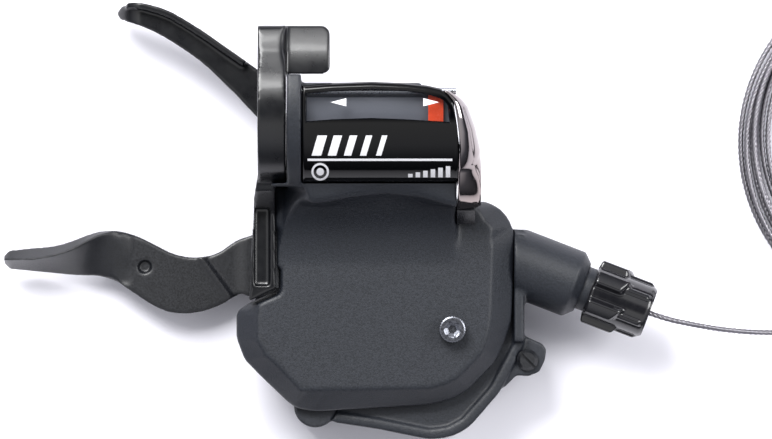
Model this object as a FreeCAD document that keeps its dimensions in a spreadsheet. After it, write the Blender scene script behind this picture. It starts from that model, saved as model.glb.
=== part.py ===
import FreeCAD, Part
import math
import os
import re
import Sketcher

# Left-hand thumb shifter for a flat handlebar, in millimetres.
# +X runs along the handlebar towards the cable exit, +Y away from the pod,
# +Z out of the gear window. The origin is the centre of the clamp bore.

doc = FreeCAD.newDocument("ThumbShifter")
sheet = doc.addObject("Spreadsheet::Sheet", "Sizes")

sizes = {
    # handlebar clamp
    "bar_radius": 11.1, "clamp_wall": 4.6, "clamp_left": -2.8, "clamp_width": 5.6,
    "boss_width": 14.4, "boss_low": 6.8, "boss_high": 16.4, "boss_half": 10.5,
    "clamp_slit": 1.6, "bar_relief": 1.4,
    "bolt_radius": 2, "bolt_head_radius": 2.7, "bolt_head_height": 4,
    "bolt_x": 5.4, "bolt_y": 13.7, "bolt_thread": 8,
    # leg of the clamp
    "leg_left": -4.6, "leg_right": 0.6, "leg_low": -38.6, "leg_top": -3.2,
    "leg_panel_depth": 0.7,
    # saddle, lens and end cap over the bar
    "saddle_gap": 0.6, "saddle_wall": 1.6, "lens_radius": 17.3, "lens_wall": 1.5,
    "lens_left": 6, "lens_right": 36.8, "lens_back": 4.9, "lens_front": -15,
    "strip_left": 3.1, "strip_back": 6.6, "cap_width": 5,
    # pod outline and levels
    "pod_left": -7.2, "pod_right": 48.4, "pod_low": -60.8, "pod_back": -18.5,
    "cover_left": 1, "cover_top": -4, "cover_wall": 2, "cover_bevel": 4, "skirt_height": 2,
    "neck_radius": 15.6, "neck_front": -32,
    "housing_right": 50.6, "housing_low": -66.6, "housing_back": -16.5,
    "housing_bottom": -26, "housing_floor": 2, "housing_wall": 2, "housing_round": 10,
    "post_radius": 2.4, "screw_radius": 1.25, "screw_head_radius": 2.3,
    # carrier plates
    "bracket_plate_top": -7.4, "bracket_plate_thick": 1.4, "base_plate_thick": 1.2,
    "spacer_radius": 2,
    # spool
    "axle_x": 27.6, "axle_y": -36.55, "axle_radius": 3, "running_gap": 0.05,
    "groove_radius": 13, "groove_level": -13, "spool_rim": 14.2, "spool_below": 3,
    "spool_above": 3.5, "ratchet_radius": 8.5, "ratchet_thick": 1.8, "tooth_depth": 1.5,
    "ratchet_teeth": 11, "nipple_radius": 2, "nipple_length": 4.4, "nipple_turn": 35,
    # levers
    "pivot_x": 9, "pivot_y": -31, "pivot_radius": 2.5, "bush_wall": 1.2,
    "release_top": -16.7, "release_thick": 2, "lever_top": -19.3, "lever_thick": 2.3,
    "lever_hub": 8, "release_hub": 4.5, "lever_reach": 63.1, "release_reach": 40.3,
    "pawl_thick": 1.5, "drive_pin_x": 6.9, "drive_pin_y": 2.8, "drive_pin_radius": 1.2,
    "hold_pin_x": 13.5, "hold_pin_y": -46.5, "hold_pin_radius": 1.5,
    "spring_wire": 0.7,
    # cable adjuster, measured along its axis from where the cable leaves the groove
    "cable_angle": -21, "cable_radius": 0.6, "boss_start": 17.5, "boss_end": 30.3,
    "adjuster_boss_radius": 6.85, "collar_radius": 4.45, "collar_end": 34,
    "knob_length": 11.6, "knob_radius": 6.55, "knob_tip_radius": 5.5, "knob_lobes": 6,
    "barrel_radius": 2.5, "ferrule_radius": 2.6, "ferrule_depth": 6,
    # gear pointer
    "dial_radius": 13.8, "dial_thick": 0.4, "pointer_x": 31.2, "pointer_width": 3,
    "pointer_back": 2.4, "pointer_front": -3.1, "rail_radius": 0.6, "rail_y": 3.3,
    "rail_z": 14.4,
    # coil of free cable
    "coil_x": 131, "coil_y": -6.3, "coil_outer": 38.5, "coil_inner": 30.5, "coil_height": 3.6,
}
for row, (alias, number) in enumerate(sizes.items(), 1):
    sheet.set(f"A{row}", alias)
    sheet.set(f"B{row}", str(number))
    sheet.setAlias(f"B{row}", alias)
doc.recompute()

aliasWord = re.compile(r"(?<![\w.])([a-z]\w*)(?![\w(])")
subParts = {}


# ---------- helpers ----------

def bind(text):
    """An expression for the sheet: every plain word in it becomes a cell."""
    return aliasWord.sub(r"Sizes.\1", str(text))


def value(text):
    return float(sheet.evalExpression(bind(text)))


def part_of(label, item):
    """Keeps item as the finished sub-part called label."""
    item.Label = label
    subParts[label] = item
    return item


def place(item, x="0", y="0", z="0", rotation=None):
    for axis, text in zip("xyz", (x, y, z)):
        item.setExpression(f"Placement.Base.{axis}", bind(text))
    if rotation:
        item.Placement.Rotation = rotation
    return item


def new_body(name):
    return doc.addObject("PartDesign::Body", name)


def outline(body, role, points, offset="0"):
    """A closed outline of straight edges; each corner is held by two bound distances."""
    sketch = body.newObject("Sketcher::SketchObject", "Outline")
    planes = body.Origin.OriginFeatures
    sketch.AttachmentSupport = [(next(item for item in planes if item.Role == role), "")]
    sketch.MapMode = "FlatFace"
    sketch.setExpression("AttachmentOffset.Base.z", bind(offset))
    corners = [FreeCAD.Vector(value(x), value(y), 0) for x, y in points]
    count = len(corners)
    for index in range(count):
        edge = Part.LineSegment(corners[index], corners[(index + 1) % count])
        sketch.addGeometry(edge, False)
    for index in range(count):
        sketch.addConstraint(Sketcher.Constraint("Coincident", index, 2, (index + 1) % count, 1))
    for index, texts in enumerate(points):
        for kind, text, size in zip(("DistanceX", "DistanceY"), texts, corners[index]):
            number = sketch.addConstraint(Sketcher.Constraint(kind, -1, 1, index, 1, size))
            sketch.setExpression(f"Constraints[{number}]", bind(text))
    return sketch


def pad(body, sketch, length, down=False):
    feature = body.newObject("PartDesign::Pad", "Pad")
    feature.Profile = sketch
    feature.setExpression("Length", bind(length))
    feature.Reversed = down
    return feature


def pocket(body, sketch, length, up=False):
    """Cuts below the sketch, or above it when up is set."""
    feature = body.newObject("PartDesign::Pocket", "Pocket")
    feature.Profile = sketch
    feature.setExpression("Length", bind(length))
    feature.Reversed = up
    return feature


def plate(name, points, top, thick):
    """A flat plate under the level top."""
    body = new_body(name)
    pad(body, outline(body, "XY_Plane", points, top), thick, down=True)
    return body


def side_block(name, points, left, width):
    """A block with a (Y, Z) outline, running along +X from left."""
    body = new_body(name)
    pad(body, outline(body, "YZ_Plane", points, left), width)
    return body


def turned(name, points):
    """A body turned about Z from (radius, height) corners."""
    body = new_body(name)
    feature = body.newObject("PartDesign::Revolution", "Revolution")
    sketch = outline(body, "XZ_Plane", points)
    feature.Profile = sketch
    feature.ReferenceAxis = (sketch, ["V_Axis"])
    feature.Angle = 360
    return body


def cylinder(name, radius, height, x="0", y="0", z="0", rotation=None):
    item = doc.addObject("Part::Cylinder", name)
    item.setExpression("Radius", bind(radius))
    item.setExpression("Height", bind(height))
    return place(item, x, y, z, rotation)


def box(name, x, y, z, length, width, height):
    item = doc.addObject("Part::Box", name)
    for side, text in zip(("Length", "Width", "Height"), (length, width, height)):
        item.setExpression(side, bind(text))
    return place(item, x, y, z)


def fuse(name, *items):
    item = doc.addObject("Part::MultiFuse", name)
    item.Shapes = list(items)
    return item


def common(name, *items):
    item = doc.addObject("Part::MultiCommon", name)
    item.Shapes = list(items)
    return item


def cut(name, base, *tools):
    item = doc.addObject("Part::Cut", name)
    item.Base = base
    item.Tool = tools[0] if len(tools) == 1 else fuse(name + "Tools", *tools)
    return item


def group(name, *items):
    """Separate solids kept as one sub-part."""
    item = doc.addObject("Part::Compound", name)
    item.Links = list(items)
    return item


def tube_along_bar(name, outer, inner, left, width):
    """A ring about the handlebar's axis."""
    along_x = FreeCAD.Rotation(FreeCAD.Vector(0, 1, 0), 90)
    rim = cylinder(name + "Rim", outer, width, left, rotation=along_x)
    bore = cylinder(name + "Bore", inner, f"{width} + 2", f"{left} - 1", rotation=along_x)
    return cut(name, rim, bore)


def bar_hole(name, radius, left, width):
    along_x = FreeCAD.Rotation(FreeCAD.Vector(0, 1, 0), 90)
    return cylinder(name, radius, width, left, rotation=along_x)


def coil_spring(name, radius, wire, low, high, x, y):
    """A close torsion spring about an upright pin."""
    helix = doc.addObject("Part::Helix", name + "Helix")
    helix.setExpression("Radius", bind(radius))
    helix.setExpression("Pitch", bind(f"1.5 * {wire}"))
    helix.setExpression("Height", bind(f"{high} - ({low}) - {wire}"))
    section = doc.addObject("Part::Circle", name + "Section")
    section.setExpression("Radius", bind(f"{wire} / 2"))
    place(section, radius, rotation=FreeCAD.Rotation(FreeCAD.Vector(1, 0, 0), 90))
    spring = doc.addObject("Part::Sweep", name)
    spring.Sections = [section]
    spring.Spine = (helix, [])
    spring.Solid = True
    spring.Frenet = True
    return place(spring, x, y, f"{low} + {wire} / 2")


def upright_edges(shape, corners):
    """Names of the upright edges that stand at the given corners."""
    names = []
    for index, edge in enumerate(shape.Edges, 1):
        low, high = edge.Vertexes[0].Point, edge.Vertexes[-1].Point
        level = math.hypot(high.x - low.x, high.y - low.y) < 1e-4
        if level and any(math.hypot(low.x - x, low.y - y) < 1e-3 for x, y in corners):
            names.append(f"Edge{index}")
    return names


def round_corners(body, feature, points, radius):
    """Rounds the upright corners of a plate at the given outline points."""
    doc.recompute()
    corners = [(value(x), value(y)) for x, y in points]
    fillet = body.newObject("PartDesign::Fillet", "Fillet")
    fillet.Base = (feature, upright_edges(feature.Shape, corners))
    fillet.setExpression("Radius", bind(radius))
    return fillet


# The cable's line: from where it leaves the groove, out through the adjuster.
def along_cable(distance, side="0"):
    across = f"(groove_radius + {side})"
    x = f"(axle_x - {across} * sin(cable_angle) + ({distance}) * cos(cable_angle))"
    y = f"(axle_y + {across} * cos(cable_angle) + ({distance}) * sin(cable_angle))"
    return x, y


cableTurn = math.radians(value("cable_angle"))
cableAxis = FreeCAD.Vector(math.cos(cableTurn), math.sin(cableTurn), 0)
zToCable = FreeCAD.Rotation(FreeCAD.Vector(0, 0, 1), cableAxis)


def on_cable(item, distance="0"):
    x, y = along_cable(distance)
    return place(item, x, y, "groove_level", zToCable)


def cable_cylinder(name, radius, start, end):
    return on_cable(cylinder(name, radius, f"{end} - ({start})"), start)


# ---------- levels and places that several pieces share ----------

saddle = "(bar_radius + saddle_gap)"
strip_right = "lens_left - 0.1"
bracket_low = "(bracket_plate_top - bracket_plate_thick)"
floor_top = "(housing_bottom + housing_floor)"
base_top = "(housing_bottom + housing_floor + base_plate_thick)"
skirt_low = "(cover_top - cover_bevel - skirt_height)"
ceiling = "(cover_top - cover_wall)"
screw_spots = [("axle_x + 2.4", "axle_y - 16.9"), ("pod_left + 9.2", "-48.5"), ("axle_x + 12.9", "axle_y + 14.1")]
spacer_spots = [("axle_x + 16.5", "axle_y - 1.5"), ("axle_x - 7.6", "axle_y - 17.45")]
leg_spots = [("leg_left + 3.2", "-23"), ("leg_left + 3.2", "-31.5")]
cover_screw_spot = ("36.1", "-44.3")
lug_spot = ("housing_right + 0.6", "-50.5")
plug_spot = ("pod_left + 15.8", "pod_low + 1")


# ---------- handlebar clamp ----------

def clamp_bracket():
    ring_outer = "(bar_radius + clamp_wall)"
    width = "clamp_width"
    ring = cylinder("ClampRing", ring_outer, width, "clamp_left",
                    rotation=FreeCAD.Rotation(FreeCAD.Vector(0, 1, 0), 90))
    boss_plan = [("clamp_left", "boss_low"), ("clamp_left", "boss_high"),
                 ("clamp_left + boss_width", "boss_high"), ("clamp_left + boss_width", "boss_low")]
    boss = new_body("ClampBoss")
    boss_pad = pad(boss, outline(boss, "XY_Plane", boss_plan, "-boss_half"), "2 * boss_half")
    round_corners(boss, boss_pad, boss_plan[2:], "1.8")
    leg_plan = [("clamp_left", "-13"), ("clamp_left - 0.8", "-18"), ("leg_left", "leg_low"),
                ("leg_right", "leg_low + 2.4"), ("leg_right", "-16"), ("leg_right", "-13")]
    plan = new_body("LegPlan")
    pad(plan, outline(plan, "XY_Plane", leg_plan, "bracket_plate_top"), "14")
    slope = side_block("LegSlope", [("-13", "bracket_plate_top"), ("-13", "6"), ("-16.5", "4"),
                                    ("-21", "leg_top + 1.4"), ("leg_low", "leg_top"),
                                    ("leg_low", "bracket_plate_top")], "leg_left - 1", "12")
    leg = common("Leg", plan, slope)
    panel = box("LegPanel", "leg_left + 1", "leg_low + 3.1", "leg_top - leg_panel_depth",
                "3.1", "15.5", "leg_panel_depth + 3")
    body = fuse("ClampBody", ring, boss, leg)
    slit = box("ClampSlit", "clamp_left - 1", "2", "-clamp_slit / 2", "boss_width + 2",
               "boss_high", "clamp_slit")
    holes = [bar_hole("ClampBore", "bar_radius", "clamp_left - 1", "boss_width + 2"),
             bar_hole("ClampRelief", "bar_radius + bar_relief", "clamp_left + clamp_width",
                      "boss_width - clamp_width + 1"),
             cylinder("BoltHole", "bolt_radius", "boss_half + bolt_thread", "bolt_x", "bolt_y", "-boss_half"),
             cylinder("BoltSeat", "bolt_head_radius + 0.3", "3", "bolt_x", "bolt_y", "-boss_half - 1.5")]
    leg_holes = [cylinder("LegHole", "screw_radius", "3", x, y, "bracket_plate_top") for x, y in leg_spots]
    part_of("clamp_bracket", cut("ClampBracket", body, slit, panel, *holes, *leg_holes))


def clamp_bolt():
    seat = "(-boss_half + 1.5)"
    bolt = turned("ClampBolt", [
        ("0", f"{seat} - bolt_head_height"), ("bolt_head_radius", f"{seat} - bolt_head_height"),
        ("bolt_head_radius", seat), ("bolt_radius", seat), ("bolt_radius", "bolt_thread - 0.5"), ("0", "bolt_thread - 0.5")])
    hexagon = pocket_hexagon(bolt, f"{seat} - bolt_head_height", "1.5", "2", up=True)
    place(part_of("clamp_bolt", hexagon), "bolt_x", "bolt_y")


def pocket_hexagon(body, level, apothem, depth, up=False):
    """Cuts a hexagon socket about the body's own Z axis."""
    corners = []
    for index in range(6):
        turn = 60 * index
        corners.append((f"{apothem} / cos(30) * cos({turn})", f"{apothem} / cos(30) * sin({turn})"))
    pocket(body, outline(body, "XY_Plane", corners, level), depth, up)
    return body


# ---------- carrier plates, spacers and screws ----------

def carrier():
    bracket_plan = [("leg_left + 1", "-20"), ("16", "pod_back - 1.5"), ("36.5", "pod_back - 2.5"),
                    ("41.5", "-33"), ("40", "-46.5"), ("24", "-52"), ("9", "-51"), ("3.5", "leg_low + 1.6"), ("leg_right - 0.1", "leg_low + 2.8"),
                    ("leg_left + 1.6", "leg_low + 3.2")]
    holes = [cylinder("PlatePivot", "pivot_radius", "6", "pivot_x", "pivot_y", "-11"),
             cylinder("PlateAxle", "axle_radius", "6", "axle_x", "axle_y", "-11"),
             cylinder("PlateScrew", "screw_radius", "6", *cover_screw_spot, "-11")]
    holes += [cylinder("PlateLeg", "screw_radius", "6", x, y, "-11") for x, y in leg_spots]
    bracket = plate("BracketSteel", bracket_plan, "bracket_plate_top", "bracket_plate_thick")
    part_of("bracket_plate", cut("BracketPlate", bracket, *holes))

    base_plan = [("3", "-23"), ("16", "-21.5"), ("38", "-26"), ("47", "-33"), ("47", "-42"), ("36", "-46"),
                 ("26", "-50.5"), ("24", "-57"), ("14", "-57"), ("5.5", "-46"), ("3", "-42")]
    pins = [("pivot_radius", "pivot_x", "pivot_y"), ("axle_radius", "axle_x", "axle_y")]
    base = plate("BaseSteel", base_plan, base_top, "base_plate_thick")
    holes = [cylinder("BaseHole", radius, "4", x, y, "housing_bottom") for radius, x, y in pins]
    part_of("base_plate", cut("BasePlate", base, *holes))

    spacers = [cylinder("Spacer", "spacer_radius", f"{bracket_low} - {base_top}", x, y, base_top)
               for x, y in spacer_spots]
    part_of("plate_spacers", group("PlateSpacers", *spacers))

    screws = []
    for x, y in leg_spots:
        screw = turned("LegScrew", [("0", "-1.5"), ("screw_head_radius", "-1.5"), ("screw_head_radius", "0"),
                                    ("screw_radius", "0"), ("screw_radius", "3.9"), ("0", "3.9")])
        screws.append(place(screw, x, y, bracket_low))
    part_of("bracket_screws", group("BracketScrews", *screws))

    screws = []
    for x, y in screw_spots:
        screw = turned("HousingScrew", [("0", "0.2"), ("screw_head_radius", "0.2"), ("screw_head_radius", "1.4"),
                                        ("screw_radius", "1.4"), ("screw_radius", "12"), ("0", "12")])
        pocket_hexagon(screw, "0.2", "0.9", "0.9", up=True)
        screws.append(place(screw, x, y, "housing_bottom"))
    part_of("housing_screws", group("HousingScrews", *screws))


# ---------- covers ----------

cover_corners = [  # outer corner, then the step in to the flat top
    ("cover_left", "pod_back", "1", "0"), ("cover_left - 0.1", "leg_low + 2", "1", "-0.6"),
    ("leg_left", "leg_low - 0.4", "2", "-0.2"), ("pod_left", "leg_low - 2.2", "bevel", "-0.4"),
    ("pod_left", "leg_low - 7.4", "bevel", "-0.6"), ("pod_left + 1.6", "leg_low - 11.8", "bevel", "0.9"),
    ("pod_left + 5.2", "pod_low + 6.8", "3.2", "2.5"), ("pod_left + 11.5", "pod_low + 0.8", "1.6", "3.4"),
    ("pod_left + 15.4", "pod_low", "0", "bevel"), ("pod_right - 16.8", "pod_low + 1.4", "0", "3.4"),
    ("pod_right - 12.7", "pod_low + 2.4", "-1.2", "3.2"), ("pod_right - 9.3", "pod_low + 4.2", "-2.3", "2.4"),
    ("pod_right - 3.5", "pod_low + 10.2", "-3.2", "1.4"), ("pod_right - 1.9", "pod_low + 14", "-3.7", "0.7"),
    ("pod_right - 0.5", "pod_low + 17.8", "-bevel", "0"), ("pod_right", "pod_low + 32.4", "-bevel", "1"),
    ("pod_right", "pod_back - 5", "-bevel", "-0.5"), ("pod_right - 2.7", "pod_back - 1.4", "-3.6", "-1.7"),
    ("pod_right - 5.8", "pod_back", "-2.4", "0")]


def cover_outline(inset):
    """The pod's plan, stepped in by a share of each corner's own step."""
    points = []
    for x, y, step_x, step_y in cover_corners:
        step_x, step_y = (text.replace("bevel", "(cover_bevel + 0.4)") for text in (step_x, step_y))
        points.append((f"{x} + {inset} * ({step_x})", f"{y} + {inset} * ({step_y})"))
    return points


def upper_cover():
    top = new_body("CoverTop")
    edge = outline(top, "XY_Plane", cover_outline(0), "cover_top - cover_bevel")
    flat = outline(top, "XY_Plane", cover_outline(1), "cover_top")
    loft = top.newObject("PartDesign::AdditiveLoft", "Loft")
    loft.Profile = edge
    loft.Sections = [flat]
    loft.Ruled = True
    skirt = outline(top, "XY_Plane", cover_outline(0), "cover_top - cover_bevel")
    pad(top, skirt, "skirt_height", down=True)

    neck_left, neck_right = "cover_left", "lens_right + 0.1"
    neck = side_block("Neck", [("-12.2", skirt_low), ("-12.2", "2"), ("lens_front - 0.1", "3"), ("lens_front - 0.1", "8.4"),
                               ("neck_front + 14.8", "6.6"), ("neck_front", "6.6"), ("neck_front", skirt_low)],
                      neck_left, f"{neck_right} - ({neck_left})")
    scoop = bar_hole("NeckScoop", "neck_radius", "-20", "90")
    place(scoop, "-20", "neck_front", "cover_top + neck_radius", scoop.Placement.Rotation)
    facet = new_body("NeckFacet")
    facet_side = outline(facet, "XZ_Plane", [("cover_left - 1", "cover_top"), ("cover_left + 0.2", "cover_top"),
                                             ("cover_left + 6", "7"), ("cover_left + 6", "9"), ("cover_left - 1", "9")],
                         "-lens_front + 0.7")
    pad(facet, facet_side, "17")
    neck = cut("NeckShaped", neck, scoop, facet)

    arch = tube_along_bar("SaddleTube", f"({saddle} + saddle_wall)", saddle, "strip_left",
                          "lens_right + 0.7 - strip_left")
    arch_zone = box("SaddleZone", "0", "-16", "0", "60", "16 + lens_back", "20")
    strip = tube_along_bar("StripTube", "(lens_radius + 0.2)", saddle, "strip_left", f"{strip_right} - strip_left")
    strip_zone = box("StripZone", "0", "lens_front - 0.6", "5", "60", "strip_back - lens_front + 0.6", "20")
    end_wall = tube_along_bar("EndTube", "(lens_radius - 1)", saddle, "lens_right", "0.7")
    end_zone = box("EndZone", "0", "-15", "3", "60", "15 + 3", "20")
    shell = fuse("CoverShell", top, neck, common("Saddle", arch, arch_zone),
                 common("Strip", strip, strip_zone), common("EndWall", end_wall, end_zone))

    room = new_body("CoverRoom")
    inner = outline(room, "XY_Plane", cover_outline(1.08), f"{skirt_low} - 1")
    pad(room, inner, f"{ceiling} - {skirt_low} + 1")
    skirt_room = new_body("SkirtRoom")
    pad(skirt_room, outline(skirt_room, "XY_Plane", cover_outline(0.45), f"{skirt_low} - 1"), "skirt_height + 1")
    neck_room = side_block("NeckRoom", [("-14.9", f"{skirt_low} - 1"), ("-14.9", "-1"), ("-17.5", "1"), ("-21", "-4.2"),
                                        ("-26", ceiling), ("neck_front - 1", ceiling), ("neck_front - 1", f"{skirt_low} - 1")],
                           "cover_left + 4", "lens_right - 1 - cover_left - 4")
    plate_gap = box("PlateGap", "cover_left - 1", "leg_low + 0.8", f"{skirt_low} - 1", "3", "-leg_low - 19.3",
                    f"bracket_plate_top + 0.2 - {skirt_low} + 1")
    screw_hole = cylinder("CoverScrewHole", "screw_radius", "6", *cover_screw_spot, "cover_top - 4")
    shell = cut("CoverHollow", shell, room, neck_room, plate_gap, screw_hole,
                bar_hole("BarWay", saddle, "-20", "90"), skirt_room,
                bar_hole("RingGap", "bar_radius + clamp_wall + 0.3", "-20", "20 + strip_left"))

    posts = [cylinder("CoverPost", "post_radius", f"{ceiling} + 0.5 - {floor_top}", x, y, floor_top)
             for x, y in screw_spots]
    holes = [cylinder("PostHole", "screw_radius", "11", x, y, floor_top) for x, y in screw_spots]
    part_of("upper_cover", cut("UpperCover", fuse("CoverPosts", shell, *posts), *holes))


wall_inside = "(housing_right - housing_wall - 0.1)"
housing_corners = [  # outer corner, then the step in to the inside of the wall
    ("pod_left + 2.6", "leg_low - 3.4", "2", "0"), ("pod_left + 2.6", "pod_low + 14.3", "2", "0.4"),
    ("pod_left + 4.6", "pod_low + 10.3", "1.7", "1.1"), ("pod_left + 12.7", "housing_low + 7.1", "1.2", "1.9"),
    ("12", "housing_low + 3.6", "0.4", "2"), ("21.3", "housing_low + 2.2", "0", "2"),
    ("housing_right - 19", "housing_low + 0.1", "0", "2"), ("housing_right - 14.8", "housing_low + 0.6", "-0.6", "2"),
    ("housing_right - 11.2", "housing_low + 2.4", "-1.3", "1.8"), ("housing_right - 5", "housing_low + 9.6", "-1.8", "1"),
    ("housing_right", "housing_low + 19.1", "-2", "0.5"), ("housing_right", "-23.6", "-2", "-1"),
    ("housing_right - 6.5", "housing_back", "-1", "-2"), ("4", "housing_back", "2", "-2"),
    ("cover_left", "-22", "2", "0")]


def housing_outline(inset):
    return [(f"{x} + {inset} * ({step_x})", f"{y} + {inset} * ({step_y})")
            for x, y, step_x, step_y in housing_corners]


def lower_housing():
    tray = new_body("Tray")
    block = pad(tray, outline(tray, "XY_Plane", housing_outline(0), "housing_bottom"),
                f"{skirt_low} - housing_bottom")
    round_corners(tray, block, [corner[:2] for corner in housing_corners[1:5] + housing_corners[6:11]],
                  "housing_round")
    room = new_body("TrayRoom")
    pad(room, outline(room, "XY_Plane", housing_outline(1), floor_top), f"{skirt_low} - {floor_top} + 1")
    lever_window = box("LeverWindow", "-20", "leg_low - 2.6", floor_top, "34", "30", "20")
    boss = cut("BossStub", cable_cylinder("AdjusterBoss", "adjuster_boss_radius", "boss_start - 4", "boss_end"),
               box("BossTrim", f"{wall_inside} - 30", "-60", "housing_bottom", "30", "50", "30"))
    strip = box("WallStrip", wall_inside, "-46.8", f"{skirt_low} - 1", "housing_wall", "21.6", "2.8")
    lip = on_cable(turned("AdjusterLip", [("0", "0"), ("adjuster_boss_radius", "0"), ("4.9", "2"), ("0", "2")]), "boss_end")
    lug_plan = [("housing_right - 4", "-56"), ("housing_right - 1.6", "-53.6"), ("housing_right + 0.8", "-53.8"),
                ("housing_right + 3", "-52.9"), ("housing_right + 4.1", "-50.6"), ("housing_right + 4.4", "-48.4"),
                ("housing_right + 3.6", "-47.3"), ("housing_right - 1.5", "-45")]
    lug = new_body("Lug")
    lug_block = pad(lug, outline(lug, "XY_Plane", lug_plan, f"{skirt_low} - 1"), "9", down=True)
    round_corners(lug, lug_block, lug_plan[2:7], "1")
    seat = cylinder("PlugSeat", "4.3", f"{skirt_low} - 1.4 - housing_bottom", *plug_spot, "housing_bottom")
    deck = new_body("Deck")
    pad(deck, outline(deck, "XY_Plane", housing_outline(0.9), f"{skirt_low} - 2.2"), "1.5")
    deck_hole = new_body("DeckHole")
    pad(deck_hole, outline(deck_hole, "XY_Plane", cover_outline(0.5), f"{skirt_low} - 3"), "4")
    body = fuse("HousingSolid", cut("TrayHollow", tray, room), boss, strip, lip, lug, seat,
                cut("DeckRing", deck, deck_hole))
    cable_way = cable_cylinder("CableWay", "cable_radius + 0.9", "boss_start - 9", "boss_end")
    collar_way = cable_cylinder("CollarWay", "collar_radius + running_gap", "boss_start + 4", "boss_end + 3")
    lug_hole = cylinder("LugHole", "screw_radius", "5", *lug_spot, f"{skirt_low} - 5.5")
    plug_room = cylinder("PlugRoom", "4.25", "5", *plug_spot, f"{skirt_low} - 1.4")
    lug_room = cylinder("LugRoom", "2.35", "3", *lug_spot, f"{skirt_low} - 1")
    inner_cut = common("InnerCut", room, cylinder("InnerReach", "spool_rim + 5", "20", "axle_x", "axle_y", floor_top))
    screws = [cylinder("FloorHole", "screw_radius", "4", x, y, "housing_bottom - 1") for x, y in screw_spots]
    screws += [cylinder("FloorSeat", "screw_head_radius", "2.4", x, y, "housing_bottom - 1") for x, y in screw_spots]
    part_of("lower_housing", cut("LowerHousing", body, lever_window, cable_way, collar_way, lug_hole, inner_cut,
                                 plug_room, lug_room, *screws))


def fasteners():
    head = turned("CoverScrew", [("0", "3"), ("2.75", "3"), ("2.75", "0"), ("screw_radius", "0"),
                                 ("screw_radius", "-4.6"), ("0", "-4.6")])
    pocket_hexagon(head, "3", "1.25", "1.7")
    place(part_of("cover_screw", head), *cover_screw_spot, "cover_top")

    slotted = turned("LugScrew", [("0", "1.4"), ("1.5", "1.4"), ("2.15", "0.7"), ("2.15", "0"), ("screw_radius", "0"),
                                  ("screw_radius", "-4"), ("0", "-4")])
    slot = outline(slotted, "XY_Plane", [("-3", "-0.25"), ("3", "-0.25"), ("3", "0.25"), ("-3", "0.25")], "1.4")
    pocket(slotted, slot, "0.8")
    turn = FreeCAD.Rotation(FreeCAD.Vector(0, 0, 1), -45)
    place(part_of("lug_screw", slotted), *lug_spot, f"{skirt_low} - 1", turn)

    plug = turned("BossPlug", [("0", "0"), ("4.2", "0"), ("4.2", "0.9"), ("3.8", "1.3"), ("0", "1.3")])
    place(part_of("boss_plug", plug), *plug_spot, f"{skirt_low} - 1.4")


# ---------- gear window ----------

def gear_window():
    width = "(lens_right - lens_left)"
    zone = box("LensZone", "0", "lens_front", "6", "60", "lens_back - lens_front", "20")
    glass = tube_along_bar("LensTube", "lens_radius", "(lens_radius - lens_wall)", "lens_left", width)
    part_of("window_lens", common("WindowLens", glass, zone))

    dial = tube_along_bar("DialTube", "dial_radius", "(dial_radius - dial_thick)", "lens_left + 0.4", f"{width} - 0.8")
    dial_zone = box("DialZone", "0", "-9", "5", "60", "11", "20")
    part_of("dial_face", common("DialFace", dial, dial_zone))

    rail = cylinder("IndicatorRail", "rail_radius", width, "lens_left", "rail_y", "rail_z",
                    FreeCAD.Rotation(FreeCAD.Vector(0, 1, 0), 90))
    part_of("indicator_rail", rail)

    carriage = side_block("CarriageBlock", [("pointer_back", "rail_z - 0.4"), ("rail_y + 0.6", "rail_z - 0.9"),
                                            ("rail_y + 0.9", "rail_z - 0.4"), ("rail_y + 0.9", "rail_z + 0.4"),
                                            ("rail_y + 0.3", "rail_z + 0.8"), ("pointer_back", "rail_z + 0.8")],
                          "pointer_x - 0.5", "pointer_width + 1")
    hole = cylinder("CarriageBore", "rail_radius + running_gap", "pointer_width + 3", "pointer_x - 1.5", "rail_y",
                    "rail_z", FreeCAD.Rotation(FreeCAD.Vector(0, 1, 0), 90))
    part_of("indicator_carriage", cut("IndicatorCarriage", carriage, hole))

    flag = tube_along_bar("PointerTube", "(dial_radius + 1.1)", "(dial_radius + 0.5)", "pointer_x", "pointer_width")
    flag_zone = box("PointerZone", "0", "pointer_front", "5", "60", "pointer_back - pointer_front", "20")
    part_of("indicator_pointer", common("IndicatorPointer", flag, flag_zone))


def end_cap():
    cap_left, cap_right = "lens_right + 0.1", "lens_right + cap_width + 0.1"
    plan = new_body("CapPlan")
    corners = [(cap_left, "-20.4"), (cap_left, "1.2"), (f"{cap_right} - 3.7", "1.6"), (f"{cap_right} - 2.7", "0.2"),
               (f"{cap_right} - 1.2", "-5.4"), (f"{cap_right} - 0.2", "-11.4"), (cap_right, "-16.3"),
               (f"{cap_right} - 0.2", "-20.4")]
    pad(plan, outline(plan, "XY_Plane", corners, "-3.9"), "24")
    dome = bar_hole("CapDome", "lens_radius + 0.1", cap_left, "cap_width + 1")
    foot = side_block("CapSide", [("-13.5", "10.9"), ("-20.4", "3"), ("-20.4", "-3.9"), ("-8", "-3.9"), ("-8", "6")],
                      cap_left, "cap_width + 1")
    way = bar_hole("CapBarWay", f"{saddle} + 0.1", "lens_right - 1", "cap_width + 4")
    under = box("CapUnder", "30", "-13.5", "-6", "20", "20", "8")
    end_wall_gap = box("CapSeat", "lens_right", "-15.1", "-0.1", "0.8", "18.2", "20")
    wall_zone = common("CapWallZone", end_wall_gap, bar_hole("CapWallRound", "lens_radius - 0.9", "lens_right - 1", "3"))
    solid = common("CapSolid", plan, fuse("CapBulk", dome, foot))
    part_of("end_cap", cut("EndCap", solid, way, under, wall_zone))

    step = side_block("CapFoot", [("-20.5", "-3.95"), ("-20.5", "1.4"), ("-21.6", "0.2"), ("-23.2", "-1.6"),
                                  ("-23.2", "-3.95")], f"{cap_left} + 0.1", "cap_width - 1.4")
    part_of("end_cap_foot", step)


# ---------- spool and its axle ----------

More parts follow.
